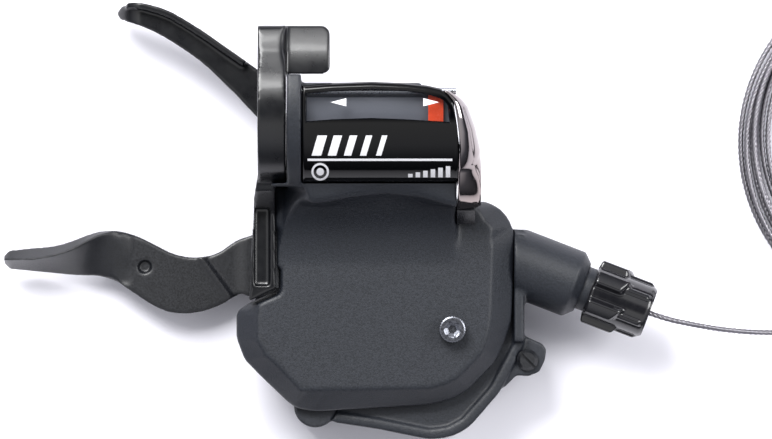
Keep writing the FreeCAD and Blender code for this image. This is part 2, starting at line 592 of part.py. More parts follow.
ratchet_top = "(groove_level - spool_below - 0.7)"
ratchet_low = "(groove_level - spool_below - 0.7 - ratchet_thick)"
spool_top = "(groove_level + spool_above)"
bush_bore = "(axle_radius + running_gap)"


def axle_parts():
    axle = cylinder("MainAxle", "axle_radius", f"{ceiling} - 0.3 - {floor_top}", "axle_x", "axle_y", floor_top)
    part_of("main_axle", axle)
    rings = [  # label, inner radius, outer radius, lowest and highest level
        ("axle_clip", "axle_radius", "5.2", "bracket_plate_top", "bracket_plate_top + 0.8"),
        ("axle_spacer", "axle_radius", "5", base_top, f"{ratchet_low} - 0.3"),
        ("spool_washer", "axle_radius", "6", f"{bracket_low} - 0.4", bracket_low)]
    for label, inner, outer, low, high in rings:
        ring = turned(label.title().replace("_", ""), [(inner, low), (outer, low), (outer, high), (inner, high)])
        place(part_of(label, ring), "axle_x", "axle_y")


def spool_parts():
    level = "groove_level"
    groove_floor = "(groove_radius - cable_radius - 0.3)"
    drum = turned("SpoolDrum", [
        (bush_bore, ratchet_top), ("6", ratchet_top), ("6", f"{level} - spool_below"),
        ("spool_rim", f"{level} - spool_below"), ("spool_rim", f"{level} - 1.5"), (groove_floor, f"{level} - 1"),
        (groove_floor, f"{level} + 1"), ("spool_rim", f"{level} + 1.5"), ("spool_rim", spool_top),
        ("spool_rim - 4", spool_top), ("spool_rim - 4", f"{level} + 0.8"), ("4.6", f"{level} + 0.8"),
        ("4.6", spool_top), (bush_bore, spool_top)])
    turn = "(90 + cable_angle + nipple_turn)"
    spot = (f"(groove_radius - 0.8) * cos({turn})", f"(groove_radius - 0.8) * sin({turn})")
    hole = cylinder("NippleHole", "nipple_radius + 0.05", "nipple_length + 3", *spot, f"{level} - nipple_length / 2")
    place(part_of("spool", cut("Spool", drum, hole)), "axle_x", "axle_y")

    nipple = cylinder("CableNipple", "nipple_radius", "nipple_length", f"axle_x + {spot[0]}", f"axle_y + {spot[1]}",
                      f"{level} - nipple_length / 2")
    part_of("cable_nipple", nipple)

    wrap = doc.addObject("Part::Torus", "CableWrap")
    wrap.setExpression("Radius1", bind("groove_radius"))
    wrap.setExpression("Radius2", bind("cable_radius"))
    wrap.setExpression("Angle3", bind("nipple_turn - 9.6"))
    start = FreeCAD.Rotation(FreeCAD.Vector(0, 0, 1), value("90 + cable_angle"))
    place(part_of("cable_wrap", wrap), "axle_x", "axle_y", level, start)

    teeth = new_body("RatchetTeeth")
    disc = teeth.newObject("Sketcher::SketchObject", "Disc")
    disc.AttachmentSupport = [(next(item for item in teeth.Origin.OriginFeatures if item.Role == "XY_Plane"), "")]
    disc.MapMode = "FlatFace"
    disc.setExpression("AttachmentOffset.Base.z", bind(ratchet_top))
    for radius in ("ratchet_radius", bush_bore):
        number = disc.addGeometry(Part.Circle(FreeCAD.Vector(), FreeCAD.Vector(0, 0, 1), value(radius)), False)
        disc.addConstraint(Sketcher.Constraint("Coincident", number, 3, -1, 1))
        size = disc.addConstraint(Sketcher.Constraint("Radius", number, value(radius)))
        disc.setExpression(f"Constraints[{size}]", bind(radius))
    pad(teeth, disc, "ratchet_thick", down=True)
    pitch = "(360 / ratchet_teeth)"
    notch_low = "(ratchet_radius - tooth_depth)"
    notch = outline(teeth, "XY_Plane", [
        (notch_low, "0"), ("ratchet_radius + 1", "0"),
        (f"(ratchet_radius + 1) * cos({pitch} * 0.8)", f"(ratchet_radius + 1) * sin({pitch} * 0.8)"),
        (f"(ratchet_radius - 0.1) * cos({pitch} * 0.8)", f"(ratchet_radius - 0.1) * sin({pitch} * 0.8)")], ratchet_top)
    first = pocket(teeth, notch, "ratchet_thick + 1")
    pattern = teeth.newObject("PartDesign::PolarPattern", "Teeth")
    pattern.Originals = [first]
    pattern.Axis = (notch, ["N_Axis"])
    pattern.Angle = 360
    pattern.setExpression("Occurrences", bind("ratchet_teeth"))
    teeth.Tip = pattern
    place(part_of("ratchet_plate", teeth), "axle_x", "axle_y")

    spring = coil_spring("SpoolSpring", "7.2", "spring_wire + 0.1", f"{level} + 1.1", f"{spool_top} - 0.3",
                         "axle_x", "axle_y")
    part_of("spool_return_spring", spring)


# ---------- levers, pawls and their pivot ----------

lever_low = "(lever_top - lever_thick)"
release_low = "(release_top - release_thick)"
hub_bore = "(pivot_radius + running_gap + bush_wall)"


def pivot_parts():
    pin = turned("PivotPin", [("0", floor_top), ("pivot_radius", floor_top), ("pivot_radius", "bracket_plate_top"),
                              ("4", "bracket_plate_top"), ("4", "bracket_plate_top + 0.9"),
                              ("0", "bracket_plate_top + 0.9")])
    rings = [  # label, outer radius, lowest and highest level
        ("pivot_washer", "5", base_top, f"{lever_low} - 0.2"),
        ("thumb_lever_bush", hub_bore, lever_low, "lever_top"),
        ("release_bush", hub_bore, release_low, "release_top")]
    place(part_of("lever_pivot_pin", pin), "pivot_x", "pivot_y")
    for label, outer, low, high in rings:
        inner = "(pivot_radius + running_gap)"
        ring = turned(label.title().replace("_", ""), [(inner, low), (outer, low), (outer, high), (inner, high)])
        place(part_of(label, ring), "pivot_x", "pivot_y")
    springs = [("release_spring", f"release_top + 0.3", "release_top + 3.6"),
               ("lever_return_spring", "release_top + 4", f"{bracket_low} - 0.3")]
    for label, low, high in springs:
        spring = coil_spring(label.title().replace("_", ""), "4", "spring_wire", low, high, "pivot_x", "pivot_y")
        part_of(label, spring)
    stop = cylinder("StopPin", "1.5", f"lever_top - {base_top}", "5.5", "pivot_y - lever_hub - 1.8", base_top)
    part_of("lever_stop_pin", stop)


def thumb_lever():
    tip = "(pivot_x - lever_reach)"
    plan = [("pivot_x + 1", "pivot_y + lever_hub"), ("0", "pivot_y + lever_hub - 1"), ("-5.5", "-25.9"), ("-9.6", "-28.1"),
            ("-12.7", "-29.7"), ("-16.5", "-30"), ("-20.6", "-29.2"), ("-27.2", "-25.6"), (f"{tip} + 23", "-24.6"),
            (f"{tip} + 23", "-35.2"), ("-28.9", "-36.8"), ("-25.1", "-39.5"), ("-21.7", "-41.1"), ("-17.2", "-41.5"),
            ("-13.1", "-40.7"), ("-9.6", "-39.4"), ("-6.4", "-37.6"), ("4", "pivot_y - lever_hub + 0.4"),
            ("pivot_x + 1", "pivot_y - lever_hub")]
    arm = plate("LeverArm", plan, "lever_top", "lever_thick")
    hub = cylinder("LeverHub", "lever_hub", "lever_thick", "pivot_x", "pivot_y", lever_low)
    ear = cylinder("LeverEar", "3", "lever_thick", "pivot_x + drive_pin_x", "pivot_y + drive_pin_y", lever_low)
    holes = [cylinder("LeverBore", hub_bore, "9", "pivot_x", "pivot_y", "lever_top - 5"),
             cylinder("LeverDimple", "1.3", "1.2", "-25.8", "-32", "lever_top - 1"),
             cylinder("EarHole", "drive_pin_radius", "9", "pivot_x + drive_pin_x", "pivot_y + drive_pin_y", "lever_top - 5")]
    part_of("thumb_lever_arm", cut("ThumbLeverArm", fuse("LeverSolid", arm, hub, ear), *holes))

    sections = [  # distance from the tip, then front foot, front edge, ridge and back edge as (Y, Z)
        ("23", [("-35.2", "-22.2"), ("-35.2", "-20.4"), ("-24.6", "-18"), ("-24.6", "-20.4")]),
        ("14", [("-34.3", "-23.6"), ("-34.3", "-22.4"), ("-28.4", "-14.8"), ("-26.4", "-17.6")]),
        ("6", [("-33.4", "-24.4"), ("-33.4", "-23"), ("-30.6", "-14.2"), ("-27.8", "-17.8")]),
        ("0", [("-32.4", "-23.2"), ("-32.4", "-22"), ("-30.8", "-16.4"), ("-29.2", "-18")])]
    pad_body = new_body("LeverPad")
    cuts = [outline(pad_body, "YZ_Plane", points, f"{tip} + {distance}") for distance, points in sections]
    loft = pad_body.newObject("PartDesign::AdditiveLoft", "Loft")
    loft.Profile = cuts[0]
    loft.Sections = cuts[1:]
    loft.Ruled = True
    part_of("thumb_lever_pad", pad_body)

    pin = cylinder("DrivePin", "drive_pin_radius", f"{ratchet_top} - {lever_low}", "pivot_x + drive_pin_x",
                   "pivot_y + drive_pin_y", lever_low)
    part_of("drive_pawl_pin", pin)


def release_lever():
    tip_x = "(pivot_x - release_reach)"
    plan = [("pivot_x + 4.4", "pivot_y"), ("pivot_x + 3.4", "pivot_y + 3"), ("pivot_x + 1.6", "pivot_y + 13"),
            ("5.5", "-7"), ("0.5", "4.4"), ("-3.2", "8.1"), ("-10.1", "13"), ("-15", "16.4"), ("-19.9", "19.4"),
            ("-24.9", "21.1"), (f"{tip_x} + 2", "21.4"), (tip_x, "19.6"), (tip_x, "18.2"), (f"{tip_x} + 2.5", "17.4"),
            ("-24.9", "16"), ("-20", "13.2"), ("-15", "9.8"), ("-10.1", "5.1"), ("-3.1", "-1.8"), ("1.5", "-9"),
            ("4.4", "-20"), ("pivot_x - 4.4", "pivot_y")]
    arm = plate("ReleaseArm", plan, "release_top", "release_thick")
    hub = cylinder("ReleaseHub", "release_hub", "release_thick", "pivot_x", "pivot_y", release_low)
    tail = box("ReleaseTail", "pivot_x - 1.5", "pivot_y - 7.6", release_low, "3", "7", "release_thick")
    lip_plan = [("-5.2", "9.6"), ("-10.1", "13"), ("-15", "16.4"), ("-19.9", "19.4"), ("-24.9", "21.1"),
                (f"{tip_x} + 2", "21.4"), (f"{tip_x} + 1.6", "20.4"), ("-25", "19.8"), ("-20.3", "18.1"), ("-15.6", "15.2"),
                ("-10.7", "11.8"), ("-6", "8.6")]
    lip = plate("ReleaseLip", lip_plan, "release_top + 2.6", "3")
    bore = cylinder("ReleaseBore", hub_bore, "9", "pivot_x", "pivot_y", "release_top - 5")
    part_of("release_lever", cut("ReleaseLever", fuse("ReleaseSolid", arm, hub, tail, lip), bore))


def pawls():
    drive_x, drive_y = "(pivot_x + drive_pin_x)", "(pivot_y + drive_pin_y)"
    drive_plan = [("-2.1", "0.4"), ("-0.4", "2.1"), ("1.9", "1"), ("3.5", "-2.2"), ("3.1", "-3.5"), ("-1.2", "-1.8")]
    pawl_top = f"({ratchet_top} - 0.2)"
    pawl = plate("DrivePawl", drive_plan, pawl_top, "pawl_thick")
    bore = cylinder("DriveBore", "drive_pin_radius + running_gap", "9", "0", "0", f"{pawl_top} - 5")
    place(part_of("drive_pawl", cut("DrivePawlCut", pawl, bore)), drive_x, drive_y)

    hold_plan = [("-2.6", "-1"), ("-3.4", "6.4"), ("-1.6", "6.9"), ("0.6", "2.6"), ("4.4", "3.6"), ("7.2", "3.9"),
                 ("7.4", "2.6"), ("2.6", "-0.8"), ("0", "-2.6")]
    pawl = plate("HoldPawl", hold_plan, pawl_top, "pawl_thick")
    bore = cylinder("HoldBore", "hold_pin_radius + running_gap", "9", "0", "0", f"{pawl_top} - 5")
    place(part_of("hold_pawl", cut("HoldPawlCut", pawl, bore)), "hold_pin_x", "hold_pin_y")
    pin = cylinder("HoldPin", "hold_pin_radius", f"{ratchet_top} - {base_top}", "hold_pin_x", "hold_pin_y", base_top)
    part_of("hold_pawl_pin", pin)
    spring = coil_spring("HoldSpring", "2.4", "spring_wire", f"{base_top} + 0.2", f"{pawl_top} - pawl_thick - 0.3",
                         "hold_pin_x", "hold_pin_y")
    part_of("hold_pawl_spring", spring)


# ---------- cable adjuster ----------

cable_bore = "(cable_radius + 0.35)"


def adjuster():
    insert = turned("Insert", [("barrel_radius + running_gap", "0"), ("collar_radius", "0"), ("collar_radius", "2.6"),
                               ("barrel_radius + running_gap", "2.6")])
    on_cable(part_of("adjuster_insert", insert), "boss_start + 4.1")

    spring = doc.addObject("Part::Helix", "AdjusterHelix")
    spring.Radius = 3.4
    spring.Pitch = 1.1
    spring.Height = 2.6
    section = doc.addObject("Part::Circle", "AdjusterSection")
    section.setExpression("Radius", bind("spring_wire / 2"))
    place(section, "3.4", rotation=FreeCAD.Rotation(FreeCAD.Vector(1, 0, 0), 90))
    sweep = doc.addObject("Part::Sweep", "AdjusterSpring")
    sweep.Sections = [section]
    sweep.Spine = (spring, [])
    sweep.Solid = True
    sweep.Frenet = True
    on_cable(part_of("adjuster_spring", sweep), "boss_start + 7.3")

    collar = turned("Collar", [("barrel_radius + running_gap", "0"), ("collar_radius", "0"),
                               ("collar_radius", "collar_end - boss_start - 11"),
                               ("barrel_radius + running_gap", "collar_end - boss_start - 11")])
    on_cable(part_of("adjuster_collar", collar), "boss_start + 11")

    barrel = turned("Barrel", [(cable_bore, "0"), ("barrel_radius", "0"), ("barrel_radius", "collar_end - boss_start - 5 + 4"),
                               (cable_bore, "collar_end - boss_start - 5 + 4")])
    on_cable(part_of("adjuster_barrel", barrel), "boss_start + 5")

    knob = turned("KnobBody", [("barrel_radius", "0"), ("knob_tip_radius", "0"), ("knob_tip_radius", "knob_length - 0.8"),
                               ("knob_tip_radius - 0.8", "knob_length"), ("ferrule_radius", "knob_length"),
                               ("ferrule_radius", "knob_length - ferrule_depth"),
                               ("cable_radius + 0.35", "knob_length - ferrule_depth"), ("cable_radius + 0.35", "4"), ("barrel_radius", "4")])
    lobes = []
    for index in range(round(value("knob_lobes"))):
        turn = f"(360 / knob_lobes * {index})"
        lobe = cylinder("KnobLobe", "1.9", "knob_length * 0.58", f"(knob_radius - 1.9) * cos({turn})",
                        f"(knob_radius - 1.9) * sin({turn})", "0.3")
        lobes.append(lobe)
    hollow = cylinder("KnobHollow", "knob_tip_radius - 1", "knob_length", z="0.2")
    ridges = cut("KnobRidges", fuse("KnobLobes", *lobes), hollow)
    on_cable(part_of("adjuster_knob", fuse("AdjusterKnob", knob, ridges)), "collar_end")

    cable = cable_cylinder("CableInner", "cable_radius", "0", "collar_end + knob_length")
    part_of("cable_inner", cable)


# ---------- free cable: a tail of straight runs and tangent arcs, then its coil ----------

def rounded_path(points):
    """Straight runs joined by tangent arcs; each arc uses 0.45 of its shorter run."""
    edges, radii, start = [], [], points[0]
    for before, corner, after in zip(points, points[1:], points[2:]):
        come, leave = corner - before, after - corner
        turn = come.getAngle(leave)
        reach = 0.45 * min(come.Length, leave.Length)
        radii.append(reach / math.tan(turn / 2))
        first = corner - come.normalize() * reach
        last = corner + leave.normalize() * reach
        middle = (first + last) / 2 - corner
        centre_gap = radii[-1] / math.cos(turn / 2)
        top = corner + middle.normalize() * (centre_gap - radii[-1])
        edges += [Part.makeLine(start, first), Part.Arc(first, top, last).toShape()]
        start = last
    edges.append(Part.makeLine(start, points[-1]))
    return Part.Wire(edges), radii


def free_cable():
    mouth_x, mouth_y = along_cable("collar_end + knob_length")
    mouth = FreeCAD.Vector(value(mouth_x), value(mouth_y), value("groove_level"))
    rest = value("housing_bottom + cable_radius + 0.05")
    route = [mouth, mouth + cableAxis * 4,
             FreeCAD.Vector(84.6, -43.5, -15.8), FreeCAD.Vector(91, -44.6, -19.6),
             FreeCAD.Vector(98.5, -45.2, -23.2), FreeCAD.Vector(108, -45, rest),
             FreeCAD.Vector(116.5, -43.6, rest), FreeCAD.Vector(124.5, -43.3, rest)]
    wire, radii = rounded_path(route)
    print("cable tail radii:", [round(radius, 1) for radius in radii], "length:", round(wire.Length, 1))
    section = Part.Wire(Part.makeCircle(value("cable_radius"), mouth, cableAxis))
    tail = doc.addObject("Part::Feature", "CableTail")
    tail.Shape = wire.makePipeShell([section], True, False)
    print("cable tail volume over section times length:",
          round(tail.Shape.Volume / (math.pi * value("cable_radius") ** 2 * wire.Length), 4))
    part_of("cable_tail", tail)

    low = "housing_bottom"
    coil = turned("CableCoil", [("coil_inner", low), ("coil_outer", low), ("coil_outer", f"{low} + coil_height"),
                                ("coil_inner", f"{low} + coil_height")])
    place(part_of("cable_coil", coil), "coil_x", "coil_y")


clamp_bracket()
clamp_bolt()
carrier()
upper_cover()
lower_housing()
fasteners()
gear_window()
end_cap()
axle_parts()
spool_parts()
pivot_parts()
thumb_lever()
release_lever()
pawls()
adjuster()
free_cable()
doc.recompute()

for item in doc.Objects:
    if "Invalid" in item.State or "Error" in item.State:
        raise RuntimeError(f"{item.Name} failed: {item.State}")
for label, item in subParts.items():
    if item.Shape.isNull() or not item.Shape.isValid() or not item.Shape.Solids:
        raise RuntimeError(f"{label} has no valid solid")

os.makedirs("parts", exist_ok=True)
for label, item in subParts.items():
    item.Shape.exportStep(f"parts/{label}.step")
print(len(subParts), "sub-parts written")
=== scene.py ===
import bpy
import math
import random
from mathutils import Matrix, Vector


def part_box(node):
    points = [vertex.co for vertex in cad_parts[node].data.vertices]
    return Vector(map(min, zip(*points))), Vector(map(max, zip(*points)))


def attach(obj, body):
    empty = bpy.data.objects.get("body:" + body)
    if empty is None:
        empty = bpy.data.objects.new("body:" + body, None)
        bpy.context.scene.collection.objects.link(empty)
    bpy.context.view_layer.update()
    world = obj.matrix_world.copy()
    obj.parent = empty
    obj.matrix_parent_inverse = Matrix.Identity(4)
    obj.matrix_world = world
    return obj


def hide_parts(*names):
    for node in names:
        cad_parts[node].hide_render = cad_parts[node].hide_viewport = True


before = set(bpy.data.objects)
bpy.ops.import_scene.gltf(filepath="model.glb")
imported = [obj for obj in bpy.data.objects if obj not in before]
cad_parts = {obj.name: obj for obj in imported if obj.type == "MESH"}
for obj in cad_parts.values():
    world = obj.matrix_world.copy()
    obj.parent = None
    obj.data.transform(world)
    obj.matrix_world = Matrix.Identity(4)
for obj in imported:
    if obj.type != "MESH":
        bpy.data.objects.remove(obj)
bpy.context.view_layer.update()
mm = 0.001


def linear(hexColour):
    channels = [int(hexColour[i:i + 2], 16) / 255 for i in (1, 3, 5)]
    return [c / 12.92 if c <= 0.04045 else ((c + 0.055) / 1.055) ** 2.4 for c in channels] + [1]


# settings are attributes or socket values, links go from an input's name to an output socket
def addNode(tree, kind, settings=None, links=None):
    node = tree.nodes.new(kind)
    for key, setting in (settings or {}).items():
        if hasattr(node, key):
            setattr(node, key, setting)
        else:
            node.inputs[key].default_value = setting
    for key, source in (links or {}).items():
        tree.links.new(source, node.inputs[key])
    return node


def smoothStep(low, high, x):
    x = min(1, max(0, (x - low) / (high - low)))
    return x * x * (3 - 2 * x)


def lerp(a, b, x):
    return a + (b - a) * x


def meshPiece(name, points, faces, material, body="root", smooth=True, scale=mm):
    mesh = bpy.data.meshes.new(name)
    mesh.from_pydata([Vector(p) * scale for p in points], [], faces)
    mesh.validate()
    mesh.polygons.foreach_set("use_smooth", [smooth] * len(mesh.polygons))
    piece = bpy.data.objects.new(name, mesh)
    bpy.context.collection.objects.link(piece)
    mesh.materials.append(material)
    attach(piece, body)
    return piece


def gridFaces(rows, columns, wrapColumns=False, capStart=False, capEnd=False, flip=False):
    faces = []
    last = columns if wrapColumns else columns - 1
    for i in range(rows - 1):
        for j in range(last):
            k = (j + 1) % columns
            faces.append((i * columns + j, i * columns + k, (i + 1) * columns + k, (i + 1) * columns + j))
    if capStart:
        faces.append(tuple(reversed(range(columns))))
    if capEnd:
        faces.append(tuple((rows - 1) * columns + j for j in range(columns)))
    return [tuple(reversed(f)) for f in faces] if flip else faces


def addModifier(piece, kind, **settings):
    modifier = piece.modifiers.new(kind.title(), kind)
    for key, setting in settings.items():
        setattr(modifier, key, setting)
    return modifier


surfaceFacts = {
    # moulded glass-filled nylon: dull charcoal with the fine spark-eroded grain of its tool
    "mouldedNylon": dict(colour="#10141b", second="#1a1e26", rough=(0.42, 0.58), grain=0.32, depth=0.05,
                         speck=True),
    # the same nylon where thumbs polish it
    "handledNylon": dict(colour="#1b1c1f", second="#222327", rough=(0.34, 0.5), grain=0.4, depth=0.02),
    # stoved gloss enamel on cast aluminium: black with soft orange peel
    "glossEnamel": dict(colour="#08090c", second="#0c0d11", rough=(0.26, 0.34), grain=3, depth=0.003, coat=0.2),
    # satin electrocoat on pressed steel
    "satinCoat": dict(colour="#0c0d11", second="#15171c", rough=(0.36, 0.5), grain=0.32, depth=0.02, coat=0.1,
                      speck=True),
    # gloss ABS: deep black, sharp highlights
    "glossAbs": dict(colour="#101013", second="#17171a", rough=(0.14, 0.24), grain=1.2, depth=0.008, coat=0.4),
    # back-painted acrylic: a deep black behind a clear gloss skin
    "windowMask": dict(colour="#030304", second="#050506", rough=(0.04, 0.09), grain=3, depth=0.003, shine=0.3),
    # chromium plate over moulded plastic: a near mirror; its warmer brownish second tone, laid in broad random patches,
    # is a painted reflection
    "chromePlate": dict(colour="#8d8c91", second="#9f9088", rough=(0.05, 0.11), grain=2.5, depth=0.004, metal=1),
    # zinc-plated steel: bright, slightly milky
    "zincSteel": dict(colour="#b9bcc2", second="#9da0a6", rough=(0.22, 0.36), grain=0.5, depth=0.008, metal=1),
    # blacked steel screw in a lighter grey metal than blacked steel, as painted sheen for the bright highlights on its
    # rim
    "blackedSteel": dict(colour="#7c7e85", second="#5f6168", rough=(0.25, 0.4), grain=0.5, depth=0.01, metal=1),
    # cold-pressed steel plate, oiled
    "pressedSteel": dict(colour="#8d8f93", second="#77797d", rough=(0.3, 0.48), grain=0.8, depth=0.01, metal=1),
    # hard-drawn spring wire
    "springWire": dict(colour="#6f7176", second="#5d5f64", rough=(0.25, 0.4), grain=0.4, depth=0.006, metal=1),
    # turned brass
    "turnedBrass": dict(colour="#c7a25a", second="#b08c48", rough=(0.22, 0.34), grain=0.3, depth=0.008, metal=1),
    # stainless inner strand: bright wires with dark grease between them
    "stainlessStrand": dict(colour="#908e93", second="#78767c", rough=(0.32, 0.46), grain=0.35, depth=0.01, metal=1),
    # natural acetal: milky white, waxy
    "naturalAcetal": dict(colour="#dddcd2", second="#d2d0c4", rough=(0.3, 0.4), grain=0.8, depth=0.005),
    # orange-red acrylic pointer
    "redAcrylic": dict(colour="#ff5c33", second="#f7522b", rough=(0.2, 0.3), grain=0.6, depth=0.002),
    # silk-screened white ink
    "screenInk": dict(colour="#e9e9ec", second="#dcdce0", rough=(0.4, 0.5), grain=0.3, depth=0.002),
    # grey strip printed behind the window
    "stripPrint": dict(colour="#666972", second="#5f626b", rough=(0.45, 0.55), grain=0.6, depth=0.002),
    # tabletop: plain pale sheet
    "paleTable": dict(colour="#f1f0f7", second="#eeedf5", rough=(0.6, 0.7), grain=4, depth=0.0),
}


# grain is the size of its texture in mm, depth the height of its relief in mm
def makeSurface(name, colour, second, rough, grain, depth, metal=0, coat=0, shine=0.5, speck=False):
    material = bpy.data.materials.new(name)
    material.use_nodes = True
    tree = material.node_tree
    tree.nodes.clear()
    place = addNode(tree, "ShaderNodeTexCoord").outputs["Object"]
    fine = addNode(tree, "ShaderNodeTexNoise", {"Scale": 1 / (grain * mm), "Detail": 3, "Roughness": 0.6},
                   {"Vector": place})
    broad = addNode(tree, "ShaderNodeTexNoise", {"Scale": 1 / (14 * mm), "Detail": 2}, {"Vector": place})
    tone = broad.outputs["Fac"]
    if speck:
        flecks = addNode(tree, "ShaderNodeMapRange", {"From Min": 0.4, "From Max": 0.6}, {"Value": fine.outputs["Fac"]})
        tone = flecks.outputs["Result"]
    tint = addNode(tree, "ShaderNodeMix", {"data_type": "RGBA"}, {"Factor": tone})
    tint.inputs["A"].default_value = linear(colour)
    tint.inputs["B"].default_value = linear(second)
    speckle = addNode(tree, "ShaderNodeMapRange", {"To Min": rough[0], "To Max": rough[1], "From Min": 0.3,
                                                   "From Max": 0.7}, {"Value": fine.outputs["Fac"]})
    shader = addNode(tree, "ShaderNodeBsdfPrincipled",
                     {"Metallic": metal, "Coat Weight": coat, "Coat Roughness": 0.08, "Specular IOR Level": shine},
                     {"Base Color": tint.outputs["Result"], "Roughness": speckle.outputs["Result"]})
    if depth:
        bump = addNode(tree, "ShaderNodeBump", {"Strength": 0.9, "Distance": depth * mm},
                       {"Height": fine.outputs["Fac"]})
        tree.links.new(bump.outputs["Normal"], shader.inputs["Normal"])
    addNode(tree, "ShaderNodeOutputMaterial", {}, {"Surface": shader.outputs["BSDF"]})
    return material


surfaces = {name: makeSurface(name, **facts) for name, facts in surfaceFacts.items()}


# smoked polycarbonate: clear but dark, so the grey strip and the pointer show through it
def makeSmokedPane():
    material = bpy.data.materials.new("smokedPolycarbonate")
    material.use_nodes = True
    tree = material.node_tree
    tree.nodes.clear()
    place = addNode(tree, "ShaderNodeTexCoord").outputs["Object"]
    haze = addNode(tree, "ShaderNodeTexNoise", {"Scale": 1 / (9 * mm), "Detail": 2}, {"Vector": place})
    gloss = addNode(tree, "ShaderNodeMapRange", {"To Min": 0.03, "To Max": 0.07}, {"Value": haze.outputs["Fac"]})
    shader = addNode(tree, "ShaderNodeBsdfPrincipled", {"Alpha": 0.14, "Coat Weight": 0.5, "Coat Roughness": 0.03},
                     {"Roughness": gloss.outputs["Result"]})
    shader.inputs["Base Color"].default_value = linear("#24262c")
    addNode(tree, "ShaderNodeOutputMaterial", {}, {"Surface": shader.outputs["BSDF"]})
    return material


surfaces["smokedPolycarbonate"] = makeSmokedPane()
print("materials", len(surfaces))


# where the camera looks, how much it sees across, and how high it hangs
stageFacts = dict(floorZ=-26.05, viewX=22.8, viewY=-22.3, viewWidth=154.4, cameraHeight=2600, sensor=36)


def makeStage():
    size = 1500
    z = stageFacts["floorZ"]
    floor = meshPiece("table", [(-size, -size, z), (size, -size, z), (size, size, z), (-size, size, z)],
                      [(0, 1, 2, 3)], surfaces["paleTable"])
    world = bpy.data.worlds.new("studio")
    world.use_nodes = True
    background = world.node_tree.nodes["Background"]
    background.inputs["Strength"].default_value = 0.95
    # a studio: bright round about overhead, dim towards the walls and straight above
    sky = addNode(world.node_tree, "ShaderNodeTexCoord").outputs["Generated"]
    height = addNode(world.node_tree, "ShaderNodeSeparateXYZ", {}, {"Vector": sky}).outputs["Z"]
    ramp = addNode(world.node_tree, "ShaderNodeValToRGB", {}, {"Fac": height})
    ramp.color_ramp.elements[0].color = linear("#2f3238")
    ramp.color_ramp.elements[1].color = linear("#2c2e34")
    for height, colour in ((0.3, "#6d7079"), (0.62, "#e6e7ee"), (0.93, "#ffffff"), (0.975, "#2c2e34")):
        ramp.color_ramp.elements.new(height).color = linear(colour)
    world.node_tree.links.new(ramp.outputs["Color"], background.inputs["Color"])
    bpy.context.scene.world = world
    bpy.context.scene.view_settings.view_transform = "Standard"
    lamps = [("keyBox", (-240, 520, 640), 460, 12.5), ("fillBox", (600, 160, 460), 380, 4.0)]
    for name, place, side, power in lamps:
        light = bpy.data.lights.new(name, "AREA")
        light.shape = "SQUARE"
        light.size = side * mm
        light.energy = power
        lamp = bpy.data.objects.new(name, light)
        lamp.location = Vector(place) * mm
        target = Vector((stageFacts["viewX"], stageFacts["viewY"], 0)) * mm
        lamp.rotation_euler = (target - lamp.location).to_track_quat("-Z", "Y").to_euler()
        bpy.context.collection.objects.link(lamp)


def makeCamera():
    camera = bpy.data.objects.new("camera", bpy.data.cameras.new("camera"))
    camera.location = Vector((stageFacts["viewX"], stageFacts["viewY"], stageFacts["cameraHeight"])) * mm
    camera.data.sensor_width = stageFacts["sensor"]
    camera.data.lens = stageFacts["sensor"] * stageFacts["cameraHeight"] / stageFacts["viewWidth"]
    camera.data.clip_end = 10
    bpy.context.collection.objects.link(camera)
    bpy.context.scene.camera = camera


makeStage()
makeCamera()
print("stage and camera")


# free cable: one spline from the adjuster's mouth into its loose coil
cableFacts = dict(radius=0.6, wires=6, lay=6.0, turns=8, coilX=131, coilY=-6.3, coilRadius=36.4)
adjusterTurn = math.radians(-21)
cableAxis = Vector((math.cos(adjusterTurn), math.sin(adjusterTurn), 0))
axlePlace = Vector((27.6, -36.55, -13))
cableStart = axlePlace + 13 * Vector((-cableAxis.y, cableAxis.x, 0))
mouth = cableStart + cableAxis * 45.6


def cablePoints():
    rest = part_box("cable_coil")[0][2] / mm + cableFacts["radius"] + 0.05
    points = [mouth, mouth + cableAxis * 4, (84.6, -43.5, -15.8), (91, -44.6, -19.6), (98.5, -45.2, -23.2),
              (108, -45, rest), (116.5, -43.6, rest)]
    points = [Vector(p) for p in points]
    random.seed(4)
    perTurn = 16
    steps = cableFacts["turns"] * perTurn
    # how far each turn lies inside the widest one, and above the table
    tiers = [(0, 0), (-2.4, 0.2), (0.3, 1.3), (-4.4, 0.3), (-1.4, 1.5), (-5.8, 0.9), (-0.4, 2.2), (-3.2, 2.3),
             (-2, 2.6)]
    drift = [(random.uniform(-0.5, 0.5), random.uniform(-0.5, 0.5)) for _ in tiers]
    for step in range(1, steps + 1):
        turn = step / perTurn
        tier = min(int(turn), len(tiers) - 2)
        blend = smoothStep(0, 1, turn - tier)
        inward = lerp(tiers[tier][0], tiers[tier + 1][0], blend)
        rise = lerp(tiers[tier][1], tiers[tier + 1][1], blend)
        shiftX = lerp(drift[tier][0], drift[tier + 1][0], blend)
        shiftY = lerp(drift[tier][1], drift[tier + 1][1], blend)
        angle = math.radians(-96) + turn * 2 * math.pi
        radius = cableFacts["coilRadius"] + 0.6 + inward
        points.append(Vector((cableFacts["coilX"] + shiftX + radius * math.cos(angle),
                              cableFacts["coilY"] + shiftY + radius * math.sin(angle), rest + rise)))
    return points


def splineLine(points):
    curve = bpy.data.curves.new("cableLine", "CURVE")
    curve.dimensions = "3D"
    curve.resolution_u = 12
    spline = curve.splines.new("NURBS")
    spline.points.add(len(points) - 1)
    for point, place in zip(spline.points, points):
        point.co = (*(place * mm), 1)
    spline.order_u = 3
    spline.use_endpoint_u = True
    holder = bpy.data.objects.new("cableLine", curve)
    mesh = bpy.data.meshes.new_from_object(holder)
    line = [v.co / mm for v in mesh.vertices]
    bpy.data.objects.remove(holder)
    return line


def resample(line, step):
    points, spare = [line[0]], 0
    for a, b in zip(line, line[1:]):
        run = (b - a).length
        place = step - spare
        while place <= run:
            points.append(a.lerp(b, place / run))
            place += step
        spare = run - (place - step)
    if (line[-1] - points[-1]).length > step * 0.3:
        points.append(line[-1])
    return points


